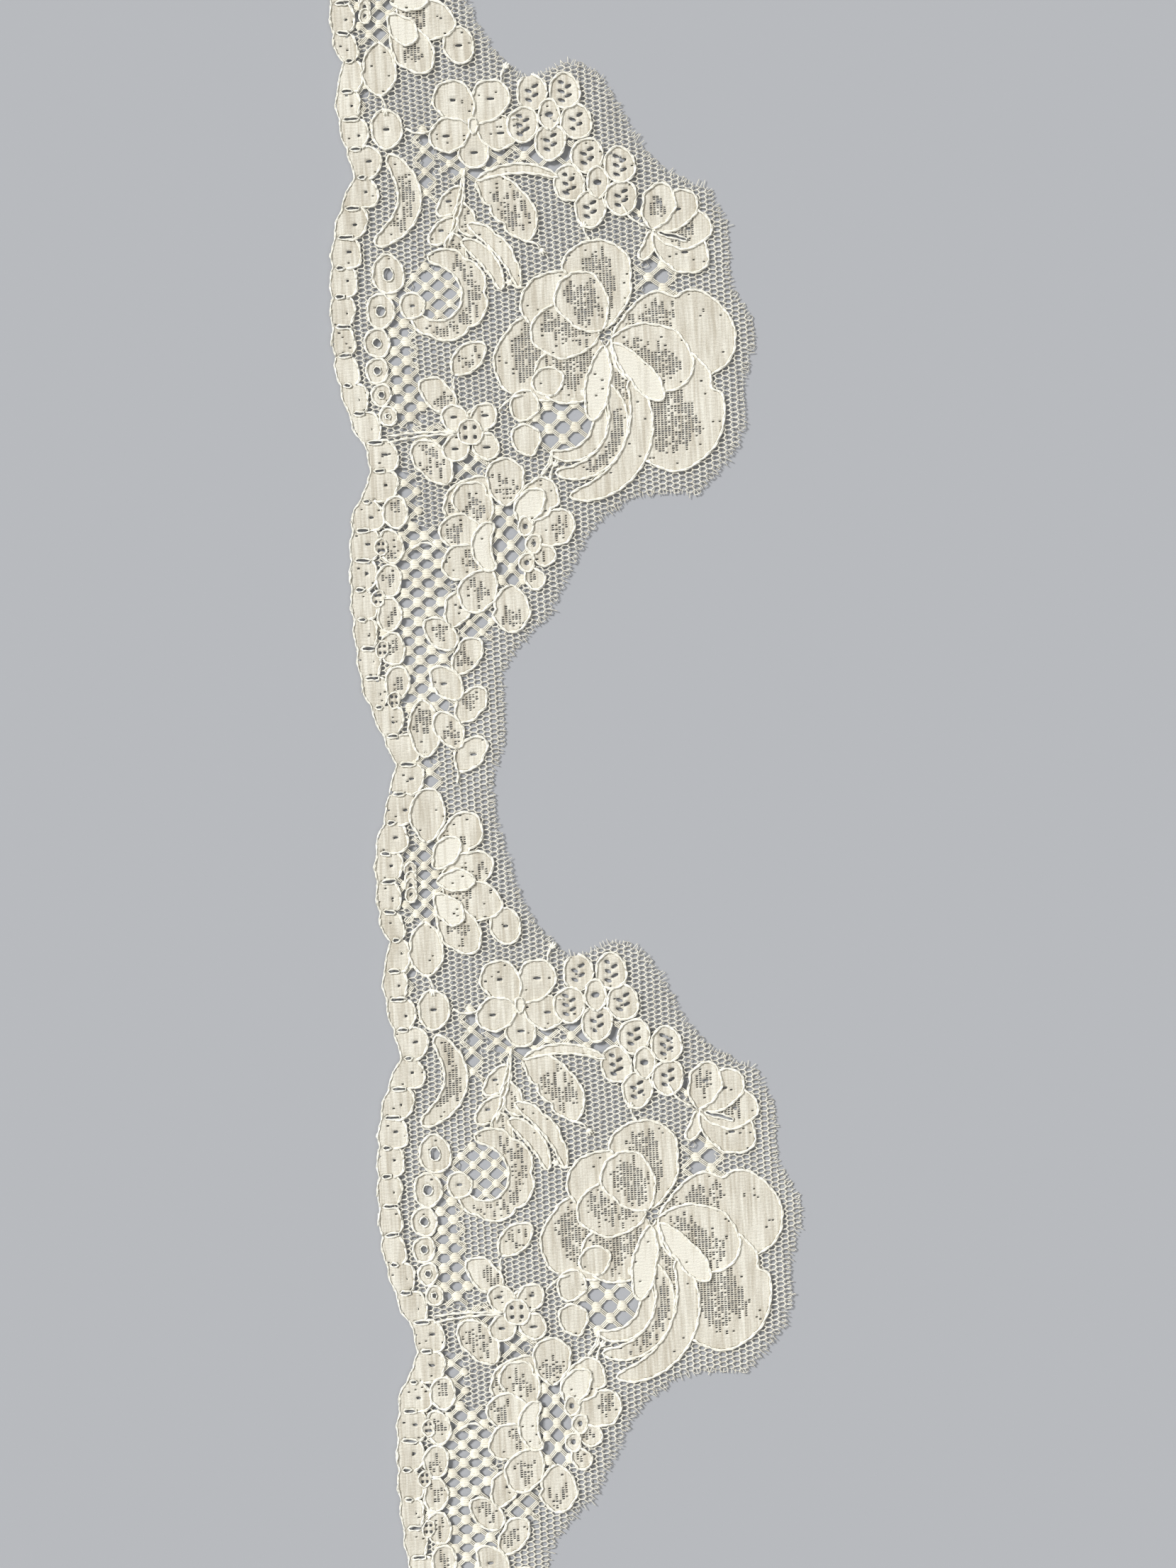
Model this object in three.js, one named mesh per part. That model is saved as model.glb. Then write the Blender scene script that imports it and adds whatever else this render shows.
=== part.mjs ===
// A cut length of scalloped Alençon lace trim, lying flat: a net ground with corded
// cloth-work flowers, one nearly straight edge of small corded lobes, and one deeply
// scalloped edge that follows the flowers.
//
// The lace is one flat solid. It has the trim's outline, and its widest gaps go right
// through. Lengths are in millimetres. "Along" runs with the trim and becomes +Y,
// "across" runs from the lobed edge to the scalloped edge and becomes +X, and +Z is up.
// The origin is the middle of the underside.
import * as THREE from "three";

// Driving dimensions.
const repeatLength = 138; // from one neck of the pattern to the next
const repeatCount = 2; // whole repeats in the cut length
const laceThickness = 1; // ground, cloth work and raised cord together
const lobesPerRepeat = 30; // small lobes down the lobed edge
const lobeDepth = 0.4; // how far a lobe stands out from the edge line
const pointsPerLobe = 4;
const scallopStep = 2.5; // spacing of points down the scalloped edge
const gapSides = 6;
const threadColour = 0xf1ebda;

// The lobed edge's line, without its lobes, over one repeat. It is a string of long
// shallow bows that meet at small notches. The last row is the first of the next repeat.
const lobedEdge = [
  { along: 0, across: 5.2 },
  { along: 4.6, across: 6.6 }, // notch at the neck
  { along: 9, across: 5 },
  { along: 13.2, across: 3.5 },
  { along: 17, across: 2.2 },
  { along: 22, across: 1.6 },
  { along: 28, across: 1.2 },
  { along: 35, across: 1.2 },
  { along: 41, across: 1.7 },
  { along: 45, across: 2.5 },
  { along: 48.6, across: 4.7 }, // notch
  { along: 53.5, across: 5 },
  { along: 56.5, across: 3.3 },
  { along: 60, across: 2.2 },
  { along: 65, across: 0.9 },
  { along: 70, across: 0.4 },
  { along: 76, across: 0.4 },
  { along: 82, across: 0.7 },
  { along: 88, across: 1.5 },
  { along: 93, across: 3.1 },
  { along: 97.3, across: 5 }, // notch
  { along: 101, across: 4 },
  { along: 106, across: 3.1 },
  { along: 110, across: 3 },
  { along: 114.4, across: 4.2 }, // notch
  { along: 118, across: 3 },
  { along: 124, across: 2.7 },
  { along: 130, across: 3 },
  { along: 134.7, across: 4.6 }, // notch
  { along: repeatLength, across: 5.2 },
];

// The scalloped edge over one repeat, as smooth stretches that meet at corners. Each
// stretch starts where the one before it ends.
const scallopStretches = [
  {
    name: "neck to small corner",
    points: [
      { along: 0, across: 21.1 },
      { along: 3, across: 21.9 },
      { along: 6, across: 23 },
      { along: 9, across: 23.6 },
      { along: 14, across: 23.6 },
      { along: 17.5, across: 23.8 },
      { along: 20.5, across: 25.2 },
      { along: 22.6, across: 27.2 },
      { along: 24.8, across: 29 },
      { along: 26.2, across: 31.3 },
    ],
  },
  {
    name: "under the rose",
    points: [
      { along: 26.2, across: 31.3 },
      { along: 30, across: 33.4 },
      { along: 35, across: 36.2 },
      { along: 40, across: 39.2 },
      { along: 42.5, across: 42.2 },
      { along: 44.2, across: 45 },
      { along: 45.2, across: 48.7 },
      { along: 45, across: 52 },
      { along: 44.6, across: 56 },
    ],
  },
  {
    name: "round the rose",
    points: [
      { along: 44.6, across: 56 },
      { along: 48.6, across: 60 },
      { along: 51.2, across: 62 },
      { along: 54, across: 63.6 },
      { along: 57.5, across: 64.1 },
      { along: 60.5, across: 63.8 },
      { along: 64.5, across: 64.8 },
      { along: 69, across: 66.4 },
      { along: 72.3, across: 65.5 },
      { along: 75.5, across: 63.6 },
      { along: 79.5, across: 62.6 },
      { along: 84, across: 63 },
      { along: 88, across: 62.1 },
      { along: 92.5, across: 60 },
    ],
  },
  {
    name: "over the small flowers",
    points: [
      { along: 92.5, across: 60 },
      { along: 93.3, across: 57.5 },
      { along: 96.5, across: 52.3 },
      { along: 99.8, across: 49.8 },
      { along: 103.2, across: 48.1 },
      { along: 107, across: 46.3 },
      { along: 110.4, across: 44.2 },
      { along: 112.7, across: 41.6 },
      { along: 113.3, across: 39 },
      { along: 111.8, across: 35.5 },
      { along: 111.2, across: 31.9 },
    ],
  },
  {
    name: "back to the neck",
    points: [
      { along: 111.2, across: 31.9 },
      { along: 114.8, across: 28.2 },
      { along: 117.1, across: 26.6 },
      { along: 120.2, across: 25.1 },
      { along: 124, across: 23.8 },
      { along: 128.4, across: 22.9 },
      { along: 133, across: 21.6 },
      { along: repeatLength, across: 21.1 },
    ],
  },
];

// The widest gaps of one repeat, by the motif that they belong to: where the middle of
// each lies, and how wide (across) and long (along) it is.
const widestGaps = [
  { motif: "ring", across: 9.6, along: 81.4, wide: 1.3, long: 2 },
  { motif: "ring", across: 7.8, along: 76, wide: 1.5, long: 1.7 },
  { motif: "rose heart", across: 35.5, along: 59.6, wide: 1.9, long: 1.2 },
  { motif: "rose heart", across: 33.6, along: 58, wide: 2, long: 1.2 },
  { motif: "rose heart", across: 37.7, along: 57.9, wide: 2, long: 1.2 },
  { motif: "rose heart", across: 35.6, along: 55.8, wide: 1.6, long: 1.5 },
  { motif: "rose heart", across: 39.5, along: 56, wide: 1.7, long: 1.4 },
  { motif: "rose heart", across: 37.6, along: 54.2, wide: 2.1, long: 1.3 },
  { motif: "lower flower", across: 26.4, along: 40, wide: 1.5, long: 1.5 },
  { motif: "lower flower", across: 24.7, along: 38, wide: 1.4, long: 1.5 },
  { motif: "lower flower", across: 27.9, along: 37.1, wide: 1.8, long: 1.3 },
  { motif: "lower flower", across: 24.3, along: 34.8, wide: 1.6, long: 1.3 },
  { motif: "bud chain", across: 50.3, along: 80.6, wide: 1.3, long: 1.2 },
  { motif: "bud chain", across: 52.6, along: 78.9, wide: 2, long: 1.2 },
  { motif: "bud chain", across: 51.1, along: 77, wide: 1.6, long: 1.2 },
  { motif: "flower chain", across: 38.5, along: 98.8, wide: 1.5, long: 1.2 },
  { motif: "flower chain", across: 38.4, along: 96.8, wide: 2, long: 1.4 },
  { motif: "flower chain", across: 49.5, along: 90.4, wide: 1.6, long: 1.3 },
  { motif: "flower chain", across: 33.4, along: 98.8, wide: 2, long: 1.5 },
  { motif: "flower chain", across: 28, along: 99.5, wide: 1.6, long: 1.4 },
  { motif: "flower chain", across: 26.1, along: 98.4, wide: 1.4, long: 1.3 },
  { motif: "flower chain", across: 20.5, along: 99, wide: 1.5, long: 1.3 },
  { motif: "pocket", across: 16.1, along: 98.9, wide: 1.4, long: 1.1 },
  { motif: "pocket", across: 16.2, along: 95.6, wide: 1.4, long: 1.1 },
  { motif: "pocket", across: 15.9, along: 93.4, wide: 1.6, long: 1.3 },
  { motif: "small leaves", across: 20.2, along: 52, wide: 1.5, long: 1.4 },
  { motif: "small leaves", across: 10.4, along: 47.1, wide: 1.8, long: 1.4 },
  { motif: "small leaves", across: 10.7, along: 44.7, wide: 1.5, long: 1.6 },
  { motif: "neck", across: 11.8, along: 1.8, wide: 1.7, long: 1.3 },
  { motif: "neck", across: 21.1, along: 26.2, wide: 1.6, long: 1.5 },
  { motif: "neck", across: 5.9, along: 111.2, wide: 1.3, long: 1.6 },
  { motif: "neck flower", across: 10.2, along: 122.1, wide: 1.9, long: 1.1 },
];

// The diamond-filled panel beside the lower flower: its gaps lie in a staggered lattice.
const panel = {
  firstAlong: 19.4, // middle of the lowest gap in the middle column
  rowPitch: 2.97,
  rows: 5,
  middleAcross: 11.3,
  columnPitch: 1.8, // from a column to the next, which is half a row higher
  gapWidth: 1.5,
  gapLength: 1.3,
};

function edgePoint(row) {
  return new THREE.Vector2(row.across, row.along);
}

// Across and along of the lobed edge, with its lobes, from the bottom of the cut length up.
function lobedEdgePoints() {
  const line = new THREE.SplineCurve(lobedEdge.map(edgePoint));
  const lobeCount = lobesPerRepeat * repeatCount;
  const lobeLength = repeatLength / lobesPerRepeat;
  const points = [];
  for (let i = 0; i <= lobeCount * pointsPerLobe; i += 1) {
    const along = (i / pointsPerLobe) * lobeLength;
    const phase = (i % pointsPerLobe) / pointsPerLobe;
    const across = acrossAt(line, along % repeatLength) - lobeDepth * Math.sin(Math.PI * phase);
    points.push(new THREE.Vector2(across, along));
  }
  return points;
}

// The line's across value at a given along value, found by halving the line's parameter.
function acrossAt(line, along) {
  let low = 0;
  let high = 1;
  for (let i = 0; i < 30; i += 1) {
    const middle = (low + high) / 2;
    if (line.getPoint(middle).y < along) {
      low = middle;
    } else {
      high = middle;
    }
  }
  return line.getPoint(low).x;
}

// The scalloped edge, from the bottom of the cut length up.
function scallopedEdgePoints() {
  const points = [];
  for (let repeat = 0; repeat < repeatCount; repeat += 1) {
    for (const stretch of scallopStretches) {
      const curve = new THREE.SplineCurve(stretch.points.map(edgePoint));
      const steps = Math.round(curve.getLength() / scallopStep);
      const samples = curve.getSpacedPoints(steps).slice(0, -1);
      points.push(...samples.map((p) => new THREE.Vector2(p.x, p.y + repeat * repeatLength)));
    }
  }
  const last = scallopStretches.at(-1).points.at(-1);
  points.push(new THREE.Vector2(last.across, repeatCount * repeatLength));
  return points;
}

// A gap is a polygon whose corners lie on an ellipse.
function gapPath({ across, along, wide, long }) {
  const corners = [];
  for (let i = 0; i < gapSides; i += 1) {
    const angle = (2 * Math.PI * i) / gapSides;
    const x = across + (wide / 2) * Math.cos(angle);
    const y = along + (long / 2) * Math.sin(angle);
    corners.push(new THREE.Vector2(x, y));
  }
  return new THREE.Path(corners);
}

function panelGaps() {
  const gaps = [];
  for (const column of [-1, 0, 1]) {
    const firstAlong = panel.firstAlong + (Math.abs(column) * panel.rowPitch) / 2;
    for (let row = 0; row < panel.rows; row += 1) {
      gaps.push({
        across: panel.middleAcross + column * panel.columnPitch,
        along: firstAlong + row * panel.rowPitch,
        wide: panel.gapWidth,
        long: panel.gapLength,
      });
    }
  }
  return gaps;
}

function laceGeometry() {
  const outline = [...scallopedEdgePoints(), ...lobedEdgePoints().reverse()];
  const shape = new THREE.Shape(outline);
  for (let repeat = 0; repeat < repeatCount; repeat += 1) {
    for (const gap of [...widestGaps, ...panelGaps()]) {
      shape.holes.push(gapPath({ ...gap, along: gap.along + repeat * repeatLength }));
    }
  }
  const geometry = new THREE.ExtrudeGeometry(shape, { depth: laceThickness, bevelEnabled: false });
  geometry.computeBoundingBox();
  const middle = geometry.boundingBox.getCenter(new THREE.Vector3());
  geometry.translate(-middle.x, -middle.y, 0);
  return geometry;
}

const thread = new THREE.MeshStandardMaterial({ color: threadColour, roughness: 0.85, metalness: 0 });
const lace = new THREE.Mesh(laceGeometry(), thread);
lace.name = "lace";

const group = new THREE.Group();
group.add(lace);

export default group;
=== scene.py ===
"""Looks of a cut length of scalloped lace trim: net, cloth work, fillings and raised cord.

Lengths in the design tables are millimetres, across (from the lobed edge to the scalloped
edge) and along (up the trim). Everything that Blender is given is in metres, in the CAD frame.
"""

import logging
import math
from dataclasses import dataclass, field
from enum import Enum, IntEnum

import bmesh
import bpy
import numpy as np
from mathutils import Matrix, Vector
from mathutils.kdtree import KDTree


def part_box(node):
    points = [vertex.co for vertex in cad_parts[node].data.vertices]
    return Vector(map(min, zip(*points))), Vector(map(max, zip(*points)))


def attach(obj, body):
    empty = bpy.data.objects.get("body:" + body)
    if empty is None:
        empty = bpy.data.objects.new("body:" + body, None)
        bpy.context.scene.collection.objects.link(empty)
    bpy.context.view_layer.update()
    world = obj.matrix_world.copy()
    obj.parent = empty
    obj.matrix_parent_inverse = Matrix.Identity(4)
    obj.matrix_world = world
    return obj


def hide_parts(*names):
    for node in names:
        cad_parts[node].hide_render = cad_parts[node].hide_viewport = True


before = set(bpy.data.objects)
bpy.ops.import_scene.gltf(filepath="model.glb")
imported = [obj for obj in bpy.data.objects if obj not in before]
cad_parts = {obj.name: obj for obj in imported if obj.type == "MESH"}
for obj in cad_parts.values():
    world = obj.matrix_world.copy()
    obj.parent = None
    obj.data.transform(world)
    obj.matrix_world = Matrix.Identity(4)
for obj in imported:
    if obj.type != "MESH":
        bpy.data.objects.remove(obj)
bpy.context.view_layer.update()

log = logging.getLogger("lace_trim")

# Lengths of the repeat, of the sections, of a step of the chart and of a step along a route.
MM = 0.001
REPEAT = 138.0
REPEATS = 2
SHIFTS = tuple(REPEAT * i for i in range(-1, REPEATS + 1))
SECTIONS = 4
SECTION_LONG = REPEAT * REPEATS / SECTIONS
CHART_STEP = 0.1
ROUTE_STEP = 0.5

# Points of an outline for each millimetre of its size.
OVAL_POINTS = 2.2
PETAL_POINTS = 1.5

# Height of a free edge, the lift of raised work, at which the cloth is painted wholly in its lit colour as
# painted light, and the depth of the bump.
RIM_RISE = 0.03
RAISED_LIFT = 0.1
BUMP_DEEP = 0.08

# The share of a short thread that each pointed end takes, and how far a hexagon's sides lie
# from its middle, as a share of its corners' distance.
POINTED = 0.12
SIDE_REACH = 0.866

LACE_NODE = "lace"
BODY = "root"
RUN_MAP = "run"
# Name of the share of painted light at each vertex: how far its thread is painted in the lit colour rather
# than the painted shadow colour.
PAINTED_LIGHT = "painted_light"

Array = np.ndarray
Pair = tuple[float, float]
Route = tuple[Pair, ...]
Triple = tuple[float, float, float]
Tree = bpy.types.NodeTree
Node = bpy.types.Node
Socket = bpy.types.NodeSocket


class Work(IntEnum):
    """What a place on the chart is worked in."""

    OUTSIDE = 0
    NET = 1
    CLOTH = 2
    LADDER = 3
    FILLING = 4
    GAP = 5


class Hold(Enum):
    """How the trim is held."""

    LAID = "laid"


# ---- shapes


def smooth_route(points: Route, step: float) -> Array:
    """Lay a smooth open curve through a few points.

    Args:
        points: Points of the route, in millimetres.
        step: Spacing of the samples.

    Returns:
        Samples of the curve, one row each.
    """
    knots = np.array(points, float)
    ends = np.vstack([2 * knots[0] - knots[1], knots, 2 * knots[-1] - knots[-2]])
    samples = []
    for i in range(1, len(ends) - 2):
        before, start, stop, after = ends[i - 1 : i + 3]
        count = max(2, math.ceil(np.linalg.norm(stop - start) / step))
        t = (np.arange(count) / count)[:, None]
        leave = (stop - before) / 2
        arrive = (after - start) / 2
        samples.append(
            (2 * t**3 - 3 * t**2 + 1) * start
            + (t**3 - 2 * t**2 + t) * leave
            + (3 * t**2 - 2 * t**3) * stop
            + (t**3 - t**2) * arrive
        )
    samples.append(knots[-1:])
    return np.vstack(samples)


def side_normals(route: Array) -> Array:
    """Find the unit normals to the left of an open route.

    Args:
        route: Samples of the route.

    Returns:
        The normal at each sample.
    """
    tangent = np.gradient(route, axis=0)
    tangent /= np.maximum(np.linalg.norm(tangent, axis=1), 1e-9)[:, None]
    return np.stack([-tangent[:, 1], tangent[:, 0]], 1)


def lobed(t: Array, lobes: int, depth: float) -> Array:
    """Swell a side into rounded lobes with a notch between each two.

    Args:
        t: Fractions of the side's length.
        lobes: How many lobes it has, or 0 for a plain side.
        depth: How deep the notches are, as a fraction of the width.

    Returns:
        What the width is multiplied by at each fraction.
    """
    if not lobes:
        return np.ones(len(t))
    return 1 - depth * (1 - np.abs(np.sin(math.pi * lobes * t))) ** 2


@dataclass(frozen=True)
class Part:
    """Part of a shape, in shares of its length and of its half width, negative to the right."""

    start: float
    stop: float
    right: float
    left: float


@dataclass(frozen=True)
class Oval:
    """An oval, placed by its middle."""

    across: float
    along: float
    wide: float
    long: float
    turn: float = 0.0
    wobble: float = 0.03
    square: float = 1.0

    def _turned(self, x: Array, y: Array) -> Array:
        """Turn places round the middle and put them there."""
        c, s = math.cos(math.radians(self.turn)), math.sin(math.radians(self.turn))
        return np.stack([self.across + x * c - y * s, self.along + x * s + y * c], 1)

    def outline(self) -> Array:
        """Draw the outline.

        Returns:
            Its points, anticlockwise.
        """
        count = max(16, math.ceil((self.wide + self.long) * OVAL_POINTS))
        angle = np.linspace(0, 2 * math.pi, count, endpoint=False)
        phase = self.across + 1.7 * self.along
        swell = 1 + self.wobble * (np.sin(2 * angle + phase) + np.sin(3 * angle - phase))
        cosine, sine = np.cos(angle), np.sin(angle)
        x = self.wide / 2 * np.sign(cosine) * np.abs(cosine) ** self.square * swell
        y = self.long / 2 * np.sign(sine) * np.abs(sine) ** self.square * swell
        return self._turned(x, y)

    def patch(self, part: Part) -> Array:
        """Outline part of the oval, for its half-open work.

        Args:
            part: The part.

        Returns:
            The patch's outline.
        """
        x = np.array([-part.left, -part.right, -part.right, -part.left]) * self.wide / 2
        y = (np.array([part.start, part.start, part.stop, part.stop]) - 0.5) * self.long
        return self._turned(x, y)


@dataclass(frozen=True)
class Petal:
    """A petal or leaf from its base to its tip, as wide as it says at its widest."""

    base: Pair
    tip: Pair
    wide: float
    bend: float = 0.0
    widest: float = 0.5
    base_point: float = 0.55
    tip_point: float = 0.5
    lobes: tuple[int, int] = (0, 0)
    depth: float = 0.3
    ripple: float = 0.05

    def middle(self, t: Array) -> tuple[Array, Array]:
        """Find the middle line.

        Args:
            t: Fractions of the length.

        Returns:
            The middle line's points and its normals.
        """
        start, stop = np.array(self.base), np.array(self.tip)
        run = stop - start
        side = np.array([-run[1], run[0]])
        bow = (4 * t * (1 - t) * self.bend)[:, None]
        line = start + t[:, None] * run + bow * side
        slope = run + ((4 - 8 * t) * self.bend)[:, None] * side
        slope /= np.linalg.norm(slope, axis=1)[:, None]
        return line, np.stack([-slope[:, 1], slope[:, 0]], 1)

    def half_width(self, t: Array) -> Array:
        """Find half the width.

        Args:
            t: Fractions of the length.

        Returns:
            Half the width at each, before the lobes.
        """
        power = math.log(0.5) / math.log(self.widest)
        point = self.base_point * (1 - t) + self.tip_point * t
        return self.wide / 2 * np.maximum(np.sin(math.pi * t**power), 0) ** point

    def outline(self) -> Array:
        """Draw the outline.

        Returns:
            Its points.
        """
        length = math.dist(self.base, self.tip)
        count = max(12, math.ceil((length + self.wide) * PETAL_POINTS))
        t = (1 - np.cos(np.linspace(0, math.pi, count))) / 2
        line, normal = self.middle(t)
        half = self.half_width(t)
        phase = self.base[0] + self.tip[1]
        left = half * lobed(t, self.lobes[0], self.depth)
        right = half * lobed(t, self.lobes[1], self.depth)
        left *= 1 + self.ripple * (np.sin(6 * t + phase) + np.sin(12 * t + 2 * phase))
        right *= 1 + self.ripple * (np.sin(5 * t - phase) + np.sin(13 * t - phase))
        up = line + normal * left[:, None]
        down = line - normal * right[:, None]
        return np.vstack([up, down[-2:0:-1]])

    def patch(self, part: Part) -> Array:
        """Outline part of the petal, for its half-open work.

        Args:
            part: The part.

        Returns:
            The patch's outline.
        """
        t = np.linspace(part.start, part.stop, 12)
        line, normal = self.middle(t)
        half = self.half_width(t)[:, None]
        return np.vstack([line + normal * half * part.left, (line + normal * half * part.right)[::-1]])


@dataclass(frozen=True)
class Band:
    """A band that follows a route, wider towards its end where its taper is above nought."""

    route: Route
    wide: float
    point: float = 0.35
    taper: float = 0.0
    lobes: tuple[int, int] = (0, 0)
    depth: float = 0.3

    def _middle(self) -> tuple[Array, Array, Array]:
        """Sample the middle line.

        Returns:
            The samples, their normals and half the width at each.
        """
        line = smooth_route(self.route, ROUTE_STEP)
        t = np.linspace(0, 1, len(line))
        half = self.wide / 2 * (1 + self.taper * (2 * t - 1))
        return line, side_normals(line), half * np.maximum(np.sin(math.pi * t), 0) ** self.point

    def outline(self) -> Array:
        """Draw the outline.

        Returns:
            Its points.
        """
        line, normal, half = self._middle()
        t = np.linspace(0, 1, len(line))
        left = (half * lobed(t, self.lobes[0], self.depth))[:, None]
        right = (half * lobed(t, self.lobes[1], self.depth))[:, None]
        return np.vstack([line + normal * left, (line - normal * right)[-2:0:-1]])

    def patch(self, part: Part) -> Array:
        """Outline part of the band, for its half-open work.

        Args:
            part: The part.

        Returns:
            The patch's outline.
        """
        line, normal, half = self._middle()
        last = len(line) - 1
        run = slice(int(part.start * last), int(part.stop * last) + 1)
        line, normal, half = line[run], normal[run], half[run, None]
        return np.vstack([line + normal * half * part.left, (line + normal * half * part.right)[::-1]])


@dataclass(frozen=True)
class Middle:
    """A place from which petals and arcs are laid out."""

    across: float
    along: float

    def oval(self, wide: float, long: float) -> Oval:
        """Lay an oval round the place."""
        return Oval(self.across, self.along, wide, long)

    def at(self, turn: float, reach: float) -> Pair:
        """Return the place at a turn, in degrees anticlockwise from across, and a distance."""
        angle = math.radians(turn)
        return self.across + reach * math.cos(angle), self.along + reach * math.sin(angle)

    def petal(
        self, turn: float, start: float, stop: float, wide: float, **form: float | tuple[int, int]
    ) -> Petal:
        """Lay a petal out from here.

        Args:
            turn: Its direction.
            start: How far from here its base is.
            stop: How far from here its tip is.
            wide: Its width.
            **form: Other fields of the petal.

        Returns:
            The petal.
        """
        return Petal(self.at(turn, start), self.at(turn, stop), wide, **form)

    def aim(self, other: "Middle") -> float:
        """Return the turn in which another place lies, in degrees."""
        return math.degrees(math.atan2(other.along - self.along, other.across - self.across))

    def arc(self, radius: float, start: float, stop: float, last: float | None = None) -> Route:
        """Lay a route along an arc round here, or along a spiral.

        Args:
            radius: How far from here the route starts.
            start: Turn at which it starts, in degrees.
            stop: Turn at which it ends.
            last: How far from here it ends, where that differs.

        Returns:
            The route.
        """
        turns = np.linspace(start, stop, 9)
        reaches = np.linspace(radius, radius if last is None else last, len(turns))
        return tuple(self.at(turn, reach) for turn, reach in zip(turns, reaches))

    def stem(self, clear: float, other: "Middle", other_clear: float, rise: float) -> Route:
        """Lay a bowed route towards another place, short of both.

        Args:
            clear: How far from here it starts.
            other: The other place.
            other_clear: How far from there it stops.
            rise: Its bow to the left, as a share of its length.

        Returns:
            The route.
        """
        start = Middle(*self.at(self.aim(other), clear))
        return start.bow(Middle(*other.at(other.aim(self), other_clear)), rise)

    def bow(self, other: "Middle", rise: float) -> Route:
        """Lay a bowed route from here to another place.

        Args:
            other: The other place.
            rise: Its bow to the left, as a share of its length.

        Returns:
            The route.
        """
        run = other.across - self.across, other.along - self.along
        route = []
        for share in (0, 0.25, 0.5, 0.75, 1):
            bow = 4 * rise * share * (1 - share)
            route.append(
                (self.across + share * run[0] - bow * run[1], self.along + share * run[1] + bow * run[0])
            )
        return tuple(route)


Shape = Oval | Petal | Band


class Shade(Enum):
    """Where a motif's half-open work lies."""

    NONE = ()
    CORE = (Part(0.3, 0.7, -0.5, 0.5),)
    FOOT = (Part(0.08, 0.5, -0.7, 0.7),)
    HEAD = (Part(0.55, 0.9, -0.6, 0.6),)
    LONG = (Part(0.15, 0.85, -0.5, 0.4),)
    BESIDE = (Part(0.12, 0.85, -1, -0.05),)
    BROAD = (Part(0.2, 0.8, -0.75, 0.6),)
    VEINS = (Part(0.28, 0.85, -0.6, 0.1), Part(0.35, 0.8, 0.4, 0.75))


@dataclass(frozen=True)
class Motif:
    """One shape of the pattern and how it is worked."""

    name: str
    shape: Shape
    work: Work = Work.CLOTH
    cord: float = 0.42
    shade: Shade = Shade.NONE
    holes: tuple[Oval, ...] = ()
    raised: float = 0.0


@dataclass(frozen=True)
class Lattice:
    """A filling: gaps on a staggered lattice, with spots between them."""

    name: str
    shape: Shape
    first: Pair
    across_pitch: float = 1.8
    along_pitch: float = 1.485
    spot: float = 0.98


@dataclass(frozen=True)
class Tendril:
    """A cord that isn't the outline of a motif."""

    name: str
    route: Route
    thick: float = 0.36
    under: bool = False


def dash(across: float, along: float, wide: float = 1.0) -> Oval:
    """Make the short slot that most of the small motifs have in their middle.

    Args:
        across: Its middle, across.
        along: Its middle, along.
        wide: Its width.

    Returns:
        The slot.
    """
    return Oval(across, along, wide, 0.42)


def slit(name: str, start: Pair, stop: Pair) -> Motif:
    """Part two lobes of a motif with a narrow slit, corded on both sides.

    Args:
        name: Name of the slit.
        start: Where it starts.
        stop: Where it ends.

    Returns:
        The slit.
    """
    return Motif(name, Petal(start, stop, 0.66, base_point=0.2, tip_point=0.2), Work.GAP, 0.3)


# ---- the trim's edge


@dataclass
class TrimOutline:
    """The trim's outer form, taken from the CAD solid."""

    weld: float = 1e-6
    level: float = 0.9
    lobed_share: float = 0.2
    farthest: float = 40.0
    feel: float = 0.25

    def __post_init__(self) -> None:
        """Read the longest loop round the solid's top face."""
        low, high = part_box(LACE_NODE)
        self.low = (low[0] / MM, low[1] / MM)
        self.size = ((high[0] - low[0]) / MM, (high[1] - low[1]) / MM)
        self.edge = max(self._loops(), key=lambda loop: np.ptp(loop[:, 1]))

    def _loops(self) -> list[Array]:
        """Follow the top face's border loops.

        Returns:
            Each loop's points, across and along in millimetres.
        """
        mesh = bmesh.new()
        mesh.from_mesh(bpy.data.objects[LACE_NODE].data)
        bmesh.ops.remove_doubles(mesh, verts=mesh.verts, dist=self.weld)
        follow = {}
        for face in mesh.faces:
            if face.normal.z < self.level:
                continue
            for loop in face.loops:
                other = loop.link_loop_radial_next.face
                if other.normal.z < self.level:
                    follow[loop.vert] = loop.link_loop_next.vert
        loops = []
        while follow:
            vert, stop = follow.popitem()
            ring = [vert, stop]
            while stop in follow:
                stop = follow.pop(stop)
                ring.append(stop)
            points = [(v.co.x / MM - self.low[0], v.co.y / MM - self.low[1]) for v in ring[:-1]]
            loops.append(np.array(points))
        mesh.free()
        return loops

    def lobed_edge(self, along: float) -> float:
        """Find the lobed edge at a height.

        Args:
            along: The height.

        Returns:
            How far across the edge lies there.
        """
        left = self.edge[self.edge[:, 0] < self.size[0] * self.lobed_share]
        left = left[np.argsort(left[:, 1])]
        return float(np.interp(along, left[:, 1], left[:, 0]))

    def room(self, centre: Middle, turn: float) -> float:
        """Feel for the trim's edge from a place, in one direction.

        Args:
            centre: The place.
            turn: The direction, in degrees.

        Returns:
            The distance to the edge.
        """
        reach = np.arange(0, self.farthest, self.feel)
        angle = math.radians(turn)
        along = centre.along + REPEAT if centre.along < REPEAT / 2 else centre.along
        within = inside(self.edge, centre.across + reach * math.cos(angle), along + reach * math.sin(angle))
        return float(reach[~within].min(initial=reach[-1]))


# ---- the pattern


LOWER_FLOWER = Middle(26, 38)
SMALL_FLOWER = Middle(21, 56)
SCROLL = Middle(17, 77)
ROSE = Middle(43, 70)
ROSE_HEART = Middle(36, 57)
BUD = Middle(51, 86)
OPEN_FLOWER = Middle(24, 104)
ROUND_FLOWERS = (Middle(36, 105), Middle(43, 94))
NECK_FLOWER = Middle(10, 124)
PLAIN = ((0, 0),)


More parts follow.
